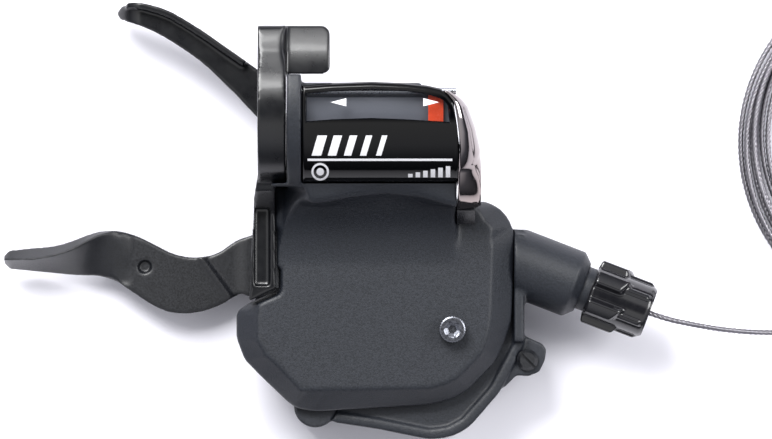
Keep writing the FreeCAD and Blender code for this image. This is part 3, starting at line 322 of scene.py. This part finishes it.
# a round of wires whose section turns along the line, once each lay
def sweepStrand(name, line, radius, wires, lay, material, body="root"):
    columns = wires * 4
    points, travelled = [], 0
    side = Vector((0, 0, 1))
    for i, place in enumerate(line):
        ahead = (line[min(i + 1, len(line) - 1)] - line[max(i - 1, 0)]).normalized()
        side = (side - ahead * side.dot(ahead)).normalized()
        across = ahead.cross(side)
        travelled += (place - line[i - 1]).length if i else 0
        twist = travelled / lay * 2 * math.pi
        for j in range(columns):
            angle = j / columns * 2 * math.pi
            bulge = radius * (0.84 + 0.16 * abs(math.cos(wires / 2 * angle)))
            points.append(place + bulge * (math.cos(angle + twist) * side + math.sin(angle + twist) * across))
    return meshPiece(name, points, gridFaces(len(line), columns, True, True, True), material, body)


def makeCable():
    line = splineLine(cablePoints())
    path = resample(line, 1.2)
    cable = sweepStrand("freeCable", path, cableFacts["radius"], cableFacts["wires"], cableFacts["lay"],
                        surfaces["stainlessStrand"])
    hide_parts("cable_tail", "cable_coil")


makeCable()


# straight runs between the listed points of a line given as pairs
def along(table, x):
    if x <= table[0][0]:
        return table[0][1]
    for (a, low), (b, high) in zip(table, table[1:]):
        if x <= b:
            return lerp(low, high, (x - a) / (b - a))
    return table[-1][1]


# a closed smooth line through the given plan corners, as radius for each direction from a centre
def smoothPlan(corners, centre, steps=720, rounds=60):
    radii = []
    for step in range(steps):
        angle = step / steps * 2 * math.pi
        ray = Vector((math.cos(angle), math.sin(angle)))
        best = 0
        for a, b in zip(corners, corners[1:] + corners[:1]):
            a, b = Vector(a) - centre, Vector(b) - centre
            side = b - a
            cross = ray.x * side.y - ray.y * side.x
            if abs(cross) < 1e-9:
                continue
            run = (a.x * side.y - a.y * side.x) / cross
            share = (a.x * ray.y - a.y * ray.x) / cross
            if run > 0 and -1e-6 <= share <= 1 + 1e-6:
                best = max(best, run)
        radii.append(best)
    smooth = radii[:]
    for turn in range(rounds):
        blurred = [(smooth[i - 1] + 2 * smooth[i] + smooth[(i + 1) % steps]) / 4 for i in range(steps)]
        # the left side keeps its crisper corners
        smooth = [smooth[i] if turn > 8 and 0.42 < i / steps < 0.57 else blurred[i] for i in range(steps)]
    return radii, smooth


def applyModifiers(piece):
    graph = bpy.context.evaluated_depsgraph_get()
    graph.update()
    mesh = bpy.data.meshes.new_from_object(piece.evaluated_get(graph))
    piece.modifiers.clear()
    piece.data = mesh


# a moulded or cast copy of a CAD node: remeshed finely, shaped by a function of the point, then smoothed
def softCopy(name, nodes, material, body, voxel=0.35, rounds=4, shape=None, blur=None):
    nodes = nodes.split()
    points, faces = [], []
    for node in nodes:
        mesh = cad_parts[node].data
        faces += [[i + len(points) for i in polygon.vertices] for polygon in mesh.polygons]
        points += [vertex.co for vertex in mesh.vertices]
    mesh = bpy.data.meshes.new(name)
    mesh.from_pydata(points, [], faces)
    piece = bpy.data.objects.new(name, mesh)
    bpy.context.collection.objects.link(piece)
    addModifier(piece, "REMESH", mode="VOXEL", voxel_size=voxel * mm)
    applyModifiers(piece)
    if isinstance(shape, dict):
        facts = shape
        shape = leverShape(piece.data, facts)
        blur = dict(where=lambda p: max(0, 1 - abs(p.x - facts["blurAt"]) / facts["blurReach"]), rounds=30)
    if shape:
        for vertex in piece.data.vertices:
            vertex.co = Vector(shape(vertex.co / mm)) * mm
    if blur:
        group = piece.vertex_groups.new(name="blur")
        for vertex in piece.data.vertices:
            weight = blur["where"](vertex.co / mm)
            if weight > 0:
                group.add([vertex.index], weight, "REPLACE")
        addModifier(piece, "SMOOTH", factor=0.5, iterations=blur["rounds"], vertex_group="blur")
        applyModifiers(piece)
        piece.vertex_groups.clear()
    addModifier(piece, "SMOOTH", factor=0.5, iterations=rounds)
    applyModifiers(piece)
    piece.data.polygons.foreach_set("use_smooth", [True] * len(piece.data.polygons))
    piece.data.materials.clear()
    piece.data.materials.append(material)
    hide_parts(*nodes)
    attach(piece, body)
    return piece


# both levers' edges run in smooth curves, and a pressed rib crosses the thumb lever near the pod
thumbFacts = dict(
    high=[(-54.1, -29.6), (-53, -28.5), (-49.2, -28.1), (-45.1, -27.8), (-42.8, -27.4), (-40.6, -26.7),
          (-37.2, -25.3), (-34.4, -24.5), (-31, -24.5), (-27.2, -25.6), (-23.4, -27.5), (-20.6, -29),
          (-18.5, -29.7), (-16, -30), (-13.5, -29.8), (-11.5, -29.2), (-9.6, -28.1), (-7.5, -26.6), (-5, -24.9)],
    low=[(-54.1, -31.2), (-53, -32.3), (-47.5, -32.8), (-42.3, -33.3), (-38.9, -33.6), (-35.1, -33.6),
         (-32, -34.5), (-28.9, -36.6), (-25.1, -39.2), (-22.6, -40.5), (-20, -41.2), (-17.2, -41.3), (-14.5, -41),
         (-12, -40.2), (-9.6, -39.1), (-7.2, -37.6), (-5, -36)],
    tip=-52, blendTo=-5, blendFrom=-8, ribStart=(-13.8, -30.8), ribEnd=(-8.8, -37.6), ribHigh=0.45,
    ribHalf=0.95, drop=0.35, blurAt=-30.6, blurReach=4.5, tipFrom=-60, tipDrop=0, seam=(-33.2, -28.2),
    seamFloor=-20.6)
releaseFacts = dict(
    high=[(-31.3, 19.5), (-30.6, 20.6), (-29.3, 21.4), (-27, 21.4), (-24.9, 21), (-22.4, 20.4), (-19.9, 19.3),
          (-17.5, 17.9), (-15, 16.4), (-12.5, 14.7), (-10.1, 13), (-7.6, 11.3), (-5.2, 9.6), (-3, 8), (-1, 6.4)],
    low=[(-31.3, 19), (-30.8, 18), (-28.8, 17.3), (-27, 16.8), (-24.9, 15.9), (-22.4, 14.7), (-20, 13.2),
         (-17.5, 11.6), (-15, 9.8), (-12.5, 7.6), (-10.1, 5.2), (-8, 3.2), (-6.2, 1.3), (-3.1, -2), (-1, -4.4)],
    tip=-30, blendTo=-1.5, blendFrom=-5, ribStart=(0, 0), ribEnd=(1, 0), ribHigh=0, ribHalf=1, drop=0,
    blurAt=-8, blurReach=8, tipFrom=-26.3, tipDrop=3.6, seam=())


def leverShape(mesh, f):
    lows, highs = {}, {}
    tops = {}  # heights on both sides of the joint between pad and arm, which is filled flush
    for vertex in mesh.vertices:
        x, y = vertex.co.x / mm, vertex.co.y / mm
        for edge in f["seam"]:
            if abs(x - edge) < 0.4:
                key = (edge, round(y))
                tops[key] = max(tops.get(key, -99), vertex.co.z / mm)
        if x < f["blendTo"] + 1:
            cell = round(x * 2)
            lows[cell], highs[cell] = min(lows.get(cell, y), y), max(highs.get(cell, y), y)
    start, end = Vector(f["ribStart"]), Vector(f["ribEnd"])
    run = (end - start).normalized()
    across = Vector((-run.y, run.x))

    # the average over a short stretch, except at the tip
    def smoothed(table, x):
        shifts = (-1.2, -0.6, 0, 0.6, 1.2) if x > f["tip"] else (0,)
        return sum(along(table, x + shift) for shift in shifts) / len(shifts)

    # the top's height at one side of the joint
    def topAt(edge, y, spare):
        cell = math.floor(y)
        return lerp(tops.get((edge, cell), spare), tops.get((edge, cell + 1), spare), y - cell)

    def shape(p):
        x, y, z = p
        if x < f["blendTo"]:
            cell = x * 2
            a, b = math.floor(cell), math.floor(cell) + 1
            low = lerp(lows.get(a, y), lows.get(b, lows.get(a, y)), cell - a)
            high = lerp(highs.get(a, y), highs.get(b, highs.get(a, y)), cell - a)
            if high - low > 0.3:
                share = smoothStep(f["blendTo"], f["blendFrom"], x)
                target = lerp(smoothed(f["low"], x), smoothed(f["high"], x), (y - low) / (high - low))
                y = lerp(y, target, share)
            if f["seam"] and f["seam"][0] < x < f["seam"][1] and z > f["seamFloor"]:
                left, right = f["seam"]
                flush = lerp(topAt(left, p.y, z), topAt(right, p.y, z), (x - left) / (right - left))
                z = lerp(z, flush, min(1, (x - left) / 0.8, (right - x) / 0.8))
            if x < f["tipFrom"]:
                z -= f["tipDrop"] * ((f["tipFrom"] - x) / 5) ** 2
            offset = (Vector((x, y)) - start).dot(across)
            z += f["ribHigh"] * math.exp(-(offset / f["ribHalf"]) ** 2 * 2)
            if offset > 0:
                z -= f["drop"] * smoothStep(0, 0.8, offset) * smoothStep(f["blendTo"], f["blendFrom"], x)
        return x, y, z

    return shape


# gear window: gloss black mask around a smoked strip, domed over the bar
windowFacts = dict(radius=17.3, wall=1.4, left=6.05, front=-15.0, edge=0.35,
                   top=[(6, 4.3), (12, 4.8), (20, 5.1), (26, 4.85), (31, 4.35), (33.6, 3.75), (35, 2.7), (36.2, 1.2),
                        (36.7, -2), (37.2, -5.4), (37.4, -9)],
                   stripTop=[(6, 2.8), (12, 3.4), (20, 3.7), (27, 3.4), (31, 2.8), (33.6, 1.9), (34.6, 1.2),
                             (35.6, -0.6)],
                   stripLow=[(6, -3.1), (12, -2.6), (20, -2.3), (27, -2.6), (33, -3), (36, -3.2)],
                   stripLeft=6.7, stripRight=35.3)


# moulded cover: its plan has soft corners, its lip a shallow wave, and its neck a soft right shoulder
coverFacts = dict(centre=(20, -42), low=-3.4, lipTop=6.2, lipFoot=1.5, shoulderX=(34, 40.5), shoulderY=(-39, -20.5),
                  plan=[(1, -18.5), (0.9, -36.6), (-4.6, -39), (-7.2, -40.8), (-7.2, -46), (-5.6, -50.4), (-2, -54),
                        (4.3, -60), (8.2, -60.8), (31.6, -59.4), (35.7, -58.4), (39.1, -56.6), (44.9, -50.6),
                        (46.5, -46.8), (47.9, -43), (48.4, -28.4), (48.4, -23.5), (45.7, -19.9), (42.6, -18.5)],
                  wave=[(3, 0), (5.6, -0.4), (8, -1.7), (10.2, -1.6), (15.7, -0.5), (22.6, 0.2), (29.5, -0.5),
                        (36.4, -2.4)])


def makeCover():
    centre = Vector(coverFacts["centre"])
    radii, smooth = smoothPlan(coverFacts["plan"], centre)

    def shape(p):
        x, y, z = p
        if z < coverFacts["low"]:
            flat = Vector((x, y)) - centre
            step = int(math.degrees(math.atan2(flat.y, flat.x)) * 2) % 720
            reach = flat.length / radii[step]
            if reach > 0.6:
                grow = lerp(1, smooth[step] / radii[step], smoothStep(0.6, 0.9, reach))
                x, y = centre.x + flat.x * grow, centre.y + flat.y * grow
        if y < -15.2 and z > coverFacts["lipFoot"]:
            share = smoothStep(coverFacts["lipFoot"], coverFacts["lipTop"], z) * smoothStep(-15.2, -16.5, y)
            y += along(coverFacts["wave"], x) * share
        if z > 8 and x > 30:
            y = min(y, along(windowFacts["top"], x) - 0.25)
        if x < 2.4 and -25 < y < -13 and z < 8:
            x -= 1.1 * smoothStep(2.4, 1.5, x) * smoothStep(-25, -23, y)
        return x, y, z

    def shoulder(p):
        (x0, x1), (y0, y1) = coverFacts["shoulderX"], coverFacts["shoulderY"]
        if not (x0 < p.x < x1 and y0 < p.y < y1 and p.z > -5):
            return 0
        return min(1, (p.x - x0) / 1.2, (x1 - p.x) / 1.2, (p.y - y0) / 1.5, (y1 - p.y) / 1.5)

    return softCopy("mouldedCover", "upper_cover", surfaces["mouldedNylon"], "root",
                    voxel=0.36, rounds=3, shape=shape, blur=dict(where=shoulder, rounds=45))


makeCover()


# the housing's far corner is drawn in under the cover's corner
def makeHousing():
    centre = Vector(coverFacts["centre"])
    radii, smooth = smoothPlan(coverFacts["plan"], centre)

    def shape(p):
        flat = Vector((p.x, p.y)) - centre
        step = int(math.degrees(math.atan2(flat.y, flat.x)) * 2) % 720
        edge = smooth[step] + 0.3
        near, far = 0.84 * edge, 1.14 * edge
        if p.y > -24.5 and p.x > 34 and flat.length > near:
            share = smoothStep(-24.5, -22.5, p.y) * smoothStep(34, 38, p.x)
            drawn = near + (min(flat.length, far) - near) / (far - near) * (edge - near)
            flat *= lerp(1, drawn / flat.length, share)
        return centre.x + flat.x, centre.y + flat.y, p.z

    return softCopy("mouldedHousing", "lower_housing", surfaces["mouldedNylon"], "root",
                    voxel=0.38, rounds=3, shape=shape)


# the clamp's band runs on over its boss and rounds off at the far end, and the boss falls away from the bar
clampFacts = dict(bossDrop=2.6, ring=15.7, flat=10.5, right=2.55,
                  band=[(7, 14.05), (9, 13), (11, 12), (13, 11.2), (14.8, 10.6), (15.8, 10.1), (16.5, 9.4)])


def makeClamp():
    f = clampFacts

    def shape(p):
        if p.x < f["right"] and p.y > 7 and p.z > 7:
            surface = max(f["flat"], math.sqrt(max(0, f["ring"] ** 2 - p.y ** 2)))
            share = smoothStep(surface - 4, surface - 0.4, p.z) * smoothStep(f["right"], f["right"] - 0.3, p.x)
            p.z += (along(f["band"], p.y) - surface) * share
        if p.x > f["right"] and p.y > 7 and p.z > 7:
            p.z -= f["bossDrop"] * ((p.y - 7) / 9.4) ** 2 * smoothStep(f["right"], f["right"] + 0.5, p.x)
        return p

    def crease(p):
        return min(1, max(0, (2.4 - p.x) / 0.6)) if 8 < p.y < 15 and p.z > 9 else 0

    return softCopy("castClamp", "clamp_bracket", surfaces["glossEnamel"], "root", voxel=0.3,
                    rounds=4, shape=shape, blur=dict(where=crease, rounds=12))


makeHousing()
makeClamp()
softCopy("thumbLever", "thumb_lever_arm thumb_lever_pad", surfaces["satinCoat"], "thumb_lever",
         voxel=0.26, rounds=7, shape=thumbFacts)
softCopy("pointerCarriage", "indicator_carriage", surfaces["glossAbs"], "indicator", voxel=0.15,
         rounds=2, shape=lambda p: (p.x, p.y if p.y < 2.9 else 2.9 + 0.15 * (p.y - 2.9), p.z))
softCopy("releaseLever", "release_lever", surfaces["glossEnamel"], "release_lever", voxel=0.24,
         rounds=6, shape=releaseFacts)
print("soft copies")


# a point on the window's dome
def onWindow(x, y, radius):
    return x, y, math.sqrt(radius * radius - y * y)


def makeWindow():
    f = windowFacts
    across = [f["left"] + (37.35 - f["left"]) * i / 90 for i in range(91)]
    bands = [0, 0.03, 0.1, 0.25, 0.45, 0.7, 0.9, 1]
    points, faces, glazed = [], [], []
    for x in across:
        top = along(f["top"], x)
        low = min(along(f["stripLow"], x), top - 0.6)
        high = max(low + 0.2, min(along(f["stripTop"], x), top - 0.3))
        ys = [lerp(f["front"], low, b) for b in bands] + [lerp(low, high, b) for b in (0.2, 0.4, 0.6, 0.8, 1)]
        ys += [lerp(high, top, b) for b in (0.35, 0.7, 1)]
        for y in ys:
            fromEdge = min(y - f["front"], top - y, x - f["left"], f["edge"]) / f["edge"]
            sink = f["edge"] * (1 - math.sqrt(max(0, 1 - (1 - fromEdge) ** 2)))
            points.append(onWindow(x, y, f["radius"] - sink))
    rows, columns = len(across), len(bands) + 8
    for i in range(rows - 1):
        for j in range(columns - 1):
            faces.append((i * columns + j, (i + 1) * columns + j, (i + 1) * columns + j + 1, i * columns + j + 1))
            glazed.append(len(bands) - 1 <= j < len(bands) + 4 and across[i] > f["stripLeft"]
                          and across[i] < f["stripRight"])
    window = meshPiece("gearWindow", points, faces, surfaces["windowMask"])
    window.data.materials.append(surfaces["smokedPolycarbonate"])
    for polygon, clear in zip(window.data.polygons, glazed):
        polygon.material_index = 1 if clear else 0
    addModifier(window, "SOLIDIFY", thickness=f["wall"] * mm, offset=-1)
    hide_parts("window_lens")
    return window


# screen-printed marks: each is a thin skin of ink that follows the dome
def inkPatch(points, faces, left, right, low, high, steps=8):
    start = len(points)
    for radius in (17.26, 17.335):
        for i in range(steps + 1):
            y = lerp(low, high, i / steps)
            for x in (left(y), right(y)):
                points.append(onWindow(x, y, radius))
    layer = (steps + 1) * 2
    for i in range(steps):
        a = start + 2 * i
        faces.append((a, a + 2, a + 3, a + 1))
        faces.append((a + layer, a + layer + 1, a + layer + 3, a + layer + 2))
        faces.append((a, a + layer, a + layer + 2, a + 2))
        faces.append((a + 1, a + 3, a + layer + 3, a + layer + 1))
    end = start + 2 * steps
    faces.append((start, start + 1, start + layer + 1, start + layer))
    faces.append((end, end + layer, end + layer + 1, end + 1))


markFacts = dict(arrows=[(11.8, 14.9, -1), (30.2, 33.3, 1)], arrowMid=1.0, arrowHalf=0.8,
                 slashes=5, slashLeft=8.0, slashStep=3.2, slashWidth=1.9, slashLean=0.3, slashLow=-9.6, slashHigh=-5.6,
                 ruleLow=-10.65, ruleHigh=-10.2, ruleLeft=7.2, ruleRight=36.0,
                 ringX=9.7, ringY=-12.8, ringRadius=1.75, ringWidth=0.42,
                 steps=6, stepLeft=27.2, stepGap=1.5, stepWidth=0.9, stepLow=-13.9)


def makeMarks():
    f = markFacts
    points, faces = [], []
    for left, right, way in f["arrows"]:
        tip, tail = (right, left) if way > 0 else (left, right)

        def edge(y, tip=tip, tail=tail):
            return lerp(tip, tail, min(1, abs(y - f["arrowMid"]) / f["arrowHalf"]))

        sides = (lambda y, tail=tail: tail, edge) if way > 0 else (edge, lambda y, tail=tail: tail)
        inkPatch(points, faces, *sides, f["arrowMid"] - f["arrowHalf"], f["arrowMid"] + f["arrowHalf"], 10)
    for i in range(f["slashes"]):
        foot = f["slashLeft"] + i * f["slashStep"]

        def lean(y, foot=foot):
            return foot + (y - f["slashLow"]) * f["slashLean"]

        inkPatch(points, faces, lean, lambda y, lean=lean: lean(y) + f["slashWidth"] * (1 - 0.11 * i),
                 f["slashLow"], f["slashHigh"])
    inkPatch(points, faces, lambda y: f["ruleLeft"], lambda y: f["ruleRight"], f["ruleLow"], f["ruleHigh"], 2)
    for i in range(f["steps"]):
        foot = f["stepLeft"] + i * f["stepGap"]
        inkPatch(points, faces, lambda y, foot=foot: foot, lambda y, foot=foot: foot + f["stepWidth"],
                 f["stepLow"], f["stepLow"] + 0.7 + 0.3 * i, 3)
    # ring with a dot, drawn as a band of short patches round a circle
    for inner, outer in ((f["ringRadius"] - f["ringWidth"], f["ringRadius"]), (0.001, 0.75)):
        start = len(points)
        count = 36
        for radius in (17.26, 17.335):
            for reach in (inner, outer):
                for i in range(count):
                    angle = i / count * 2 * math.pi
                    points.append(onWindow(f["ringX"] + reach * math.cos(angle), f["ringY"] + reach * math.sin(angle),
                                           radius))
        for i in range(count):
            k = (i + 1) % count
            a, b, c, d = (start + n * count for n in range(4))
            faces += [(a + i, a + k, b + k, b + i), (c + i, d + i, d + k, c + k), (b + i, b + k, d + k, d + i),
                      (a + i, c + i, c + k, a + k)]
    return meshPiece("windowMarks", points, faces, surfaces["screenInk"], smooth=False)


makeWindow()
makeMarks()
print("gear window")


# chromed end cap: a quarter-round rim that runs over the bar and down the pod's side
capFacts = dict(radius=17.35, depth=5.2, cornerDepth=1.1, lineTop=3.4, lineTurn=-12.6, lineSide=-20.35,
                sideTop=3.0, sideLow=-3.8,
                inner=[(-20.4, 37.0), (-9, 37.45), (-5.4, 37.3), (-2, 36.85), (1.2, 36.3), (2.6, 35.2), (3.4, 34.2)],
                outer=[(-20.4, 41.8), (-16.3, 41.85), (-11.4, 41.6), (-5.4, 40.6), (0.2, 39.2), (2, 38.2), (3.4, 36.6)])


def capLine():
    f = capFacts
    line = []
    for i in range(41):
        y = lerp(f["lineTop"], f["lineTurn"], i / 40)
        z = math.sqrt(f["radius"] ** 2 - y * y)
        line.append((y, z, Vector((0, y, z)).normalized()))
    y0, z0, lead = line[-1]
    corner = Vector((0, f["lineSide"], f["sideTop"]))
    for i in range(1, 25):
        t = i / 24
        a = Vector((0, y0, z0)).lerp(Vector((0, f["lineSide"] + 0.9, 8.5)), t)
        b = Vector((0, f["lineSide"] + 0.9, 8.5)).lerp(corner, t)
        place = a.lerp(b, t)
        line.append((place.y, place.z, lead.lerp(Vector((0, -1, 0)), t).normalized()))
    for i in range(1, 9):
        z = lerp(f["sideTop"], f["sideLow"], i / 8)
        line.append((f["lineSide"], z, Vector((0, -1, 0))))
    return line


def makeCap():
    f = capFacts
    points = []
    columns = 0
    for y, z, out in capLine():
        inner, outer = along(f["inner"], y), along(f["outer"], y)
        depth = lerp(f["cornerDepth"], f["depth"], smoothStep(-20.3, -13.5, y))
        section = []
        for k in range(13):
            angle = k / 12 * math.pi / 2
            section.append((lerp(inner, outer, math.sin(angle)), -depth * (1 - math.cos(angle))))
        section += [(outer - 0.5, -depth - 0.3), (inner + 0.4, -depth - 0.3), (inner + 0.25, -depth),
                    (inner, -0.6)]
        columns = len(section)
        for x, drop in section:
            place = Vector((x, y, z)) + out * drop
            points.append(tuple(place))
    rows = len(points) // columns
    cap = meshPiece("chromeCap", points, gridFaces(rows, columns, True, True, True, True), surfaces["chromePlate"])
    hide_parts("end_cap")
    return cap


makeCap()


# adjuster knob: six thumb lobes with slanted ends, then thin bars
knobFacts = dict(past=0.9, length=12.7, core=5.3, lobe=1.35, lobeLength=6.4, bar=0.55, socket=2.6, socketDepth=6,
                 bore=2.55)


def makeKnob():
    f = knobFacts
    side = Vector((-cableAxis.y, cableAxis.x, 0))
    up = Vector((0, 0, 1))
    stations = [(0, f["bore"]), (0, 4.6)]
    stations += [(f["length"] * i / 44, None) for i in range(45)]
    stations += [(f["length"], 4.9), (f["length"] + 0.05, 3.0), (f["length"] - 0.35, f["socket"]),
                 (f["length"] - f["socketDepth"], f["socket"]), (f["length"] - f["socketDepth"], 0.98)]
    columns = 180
    points = []
    for s, radius in stations:
        for j in range(columns):
            angle = j / columns * 2 * math.pi
            reach = radius
            if reach is None:
                pitch = (math.degrees(angle) + 30) % 60 - 30
                ends = min(1, s / 0.5, (f["length"] - s) / 0.8)
                slanted = s + 0.055 * pitch
                tip = smoothStep(f["lobeLength"] + 0.9, f["lobeLength"] - 0.3, slanted)
                lobe = f["lobe"] * smoothStep(19, 11, abs(pitch)) * tip
                bar = f["bar"] * smoothStep(8, 4, abs(pitch)) * smoothStep(f["length"] - 0.6, f["length"] - 1.6, s)
                reach = f["core"] - 0.5 * (1 - math.sqrt(max(0, ends))) + max(lobe, bar) * min(1, ends * 1.5)
            out = math.cos(angle) * side + math.sin(angle) * up
            points.append(mouth + cableAxis * (s - f["length"] + f["past"]) + reach * out)
    knob = meshPiece("adjusterKnob", points, gridFaces(len(stations), columns, True, True, True, False),
                     surfaces["glossAbs"], "adjuster")
    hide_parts("adjuster_knob")
    return knob


makeKnob()


# socket cap screw in the cover: knurled rim, hexagon socket
screwFacts = dict(x=36.1, y=-44.3, low=-3.98, top=-1.0, radius=2.72, knurls=30, knurlDepth=0.09, socket=1.28,
                  depth=1.7)


def makeCoverScrew():
    f = screwFacts
    columns = f["knurls"] * 6
    top, radius, floor = f["top"], f["radius"], f["top"] - f["depth"]
    # height, radius, share of the knurl, and whether the section is a hexagon
    stations = [(f["low"], radius, 1, 0), (top - 0.45, radius, 1, 0), (top - 0.12, radius - 0.12, 0.5, 0),
                (top, radius - 0.4, 0, 0), (top, 1.72, 0, 0), (top - 0.16, 0.06, 0, 1), (floor, 0, 0, 1),
                (floor - 0.25, -0.5, 0, 1)]
    points = []
    for z, radius, knurl, hexagon in stations:
        for j in range(columns):
            angle = j / columns * 2 * math.pi
            reach = radius
            if hexagon:
                turned = (angle + 0.2) % (math.pi / 3) - math.pi / 6
                reach = (f["socket"] + radius) / math.cos(turned)
            reach -= knurl * f["knurlDepth"] * (0.5 + 0.5 * math.cos(angle * f["knurls"]))
            points.append((f["x"] + reach * math.cos(angle), f["y"] + reach * math.sin(angle), z))
    screw = meshPiece("coverSocketScrew", points, gridFaces(len(stations), columns, True, True, True, False),
                      surfaces["blackedSteel"], smooth=False)
    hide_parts("cover_screw")


makeCoverScrew()
print("cap, knob and screw")


# CAD nodes that stay as they are, with their real finishes
nodeFinish = {
    "glossEnamel": ["clamp_bracket", "release_lever"],
    "mouldedNylon": ["upper_cover", "lower_housing", "boss_plug", "adjuster_collar"],
    "satinCoat": ["thumb_lever_arm", "lug_screw"],
    "handledNylon": ["thumb_lever_pad"],
    "glossAbs": ["end_cap_foot", "adjuster_knob", "indicator_carriage"],
    "chromePlate": ["end_cap"],
    "smokedPolycarbonate": ["window_lens"],
    "stripPrint": ["dial_face"],
    "redAcrylic": ["indicator_pointer"],
    "blackedSteel": ["cover_screw"],
    "zincSteel": ["housing_screws", "bracket_screws", "clamp_bolt", "indicator_rail",
                  "lever_pivot_pin", "main_axle"],
    "pressedSteel": ["bracket_plate", "base_plate", "plate_spacers", "axle_clip", "axle_spacer", "spool_washer",
                     "pivot_washer", "lever_stop_pin", "hold_pawl_pin", "drive_pawl_pin", "ratchet_plate",
                     "drive_pawl", "hold_pawl"],
    "springWire": ["spool_return_spring", "lever_return_spring", "release_spring", "hold_pawl_spring",
                   "adjuster_spring"],
    "turnedBrass": ["thumb_lever_bush", "release_bush", "adjuster_insert", "adjuster_barrel"],
    "naturalAcetal": ["spool"],
    "stainlessStrand": ["cable_inner", "cable_wrap", "cable_nipple", "cable_tail", "cable_coil"],
}


def finishNodes():
    for name, nodes in nodeFinish.items():
        for node in nodes:
            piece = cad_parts[node]
            for place in piece.material_slots:
                place.material = surfaces[name]
            if not piece.material_slots:
                piece.data.materials.append(surfaces[name])


finishNodes()
print("CAD nodes finished")
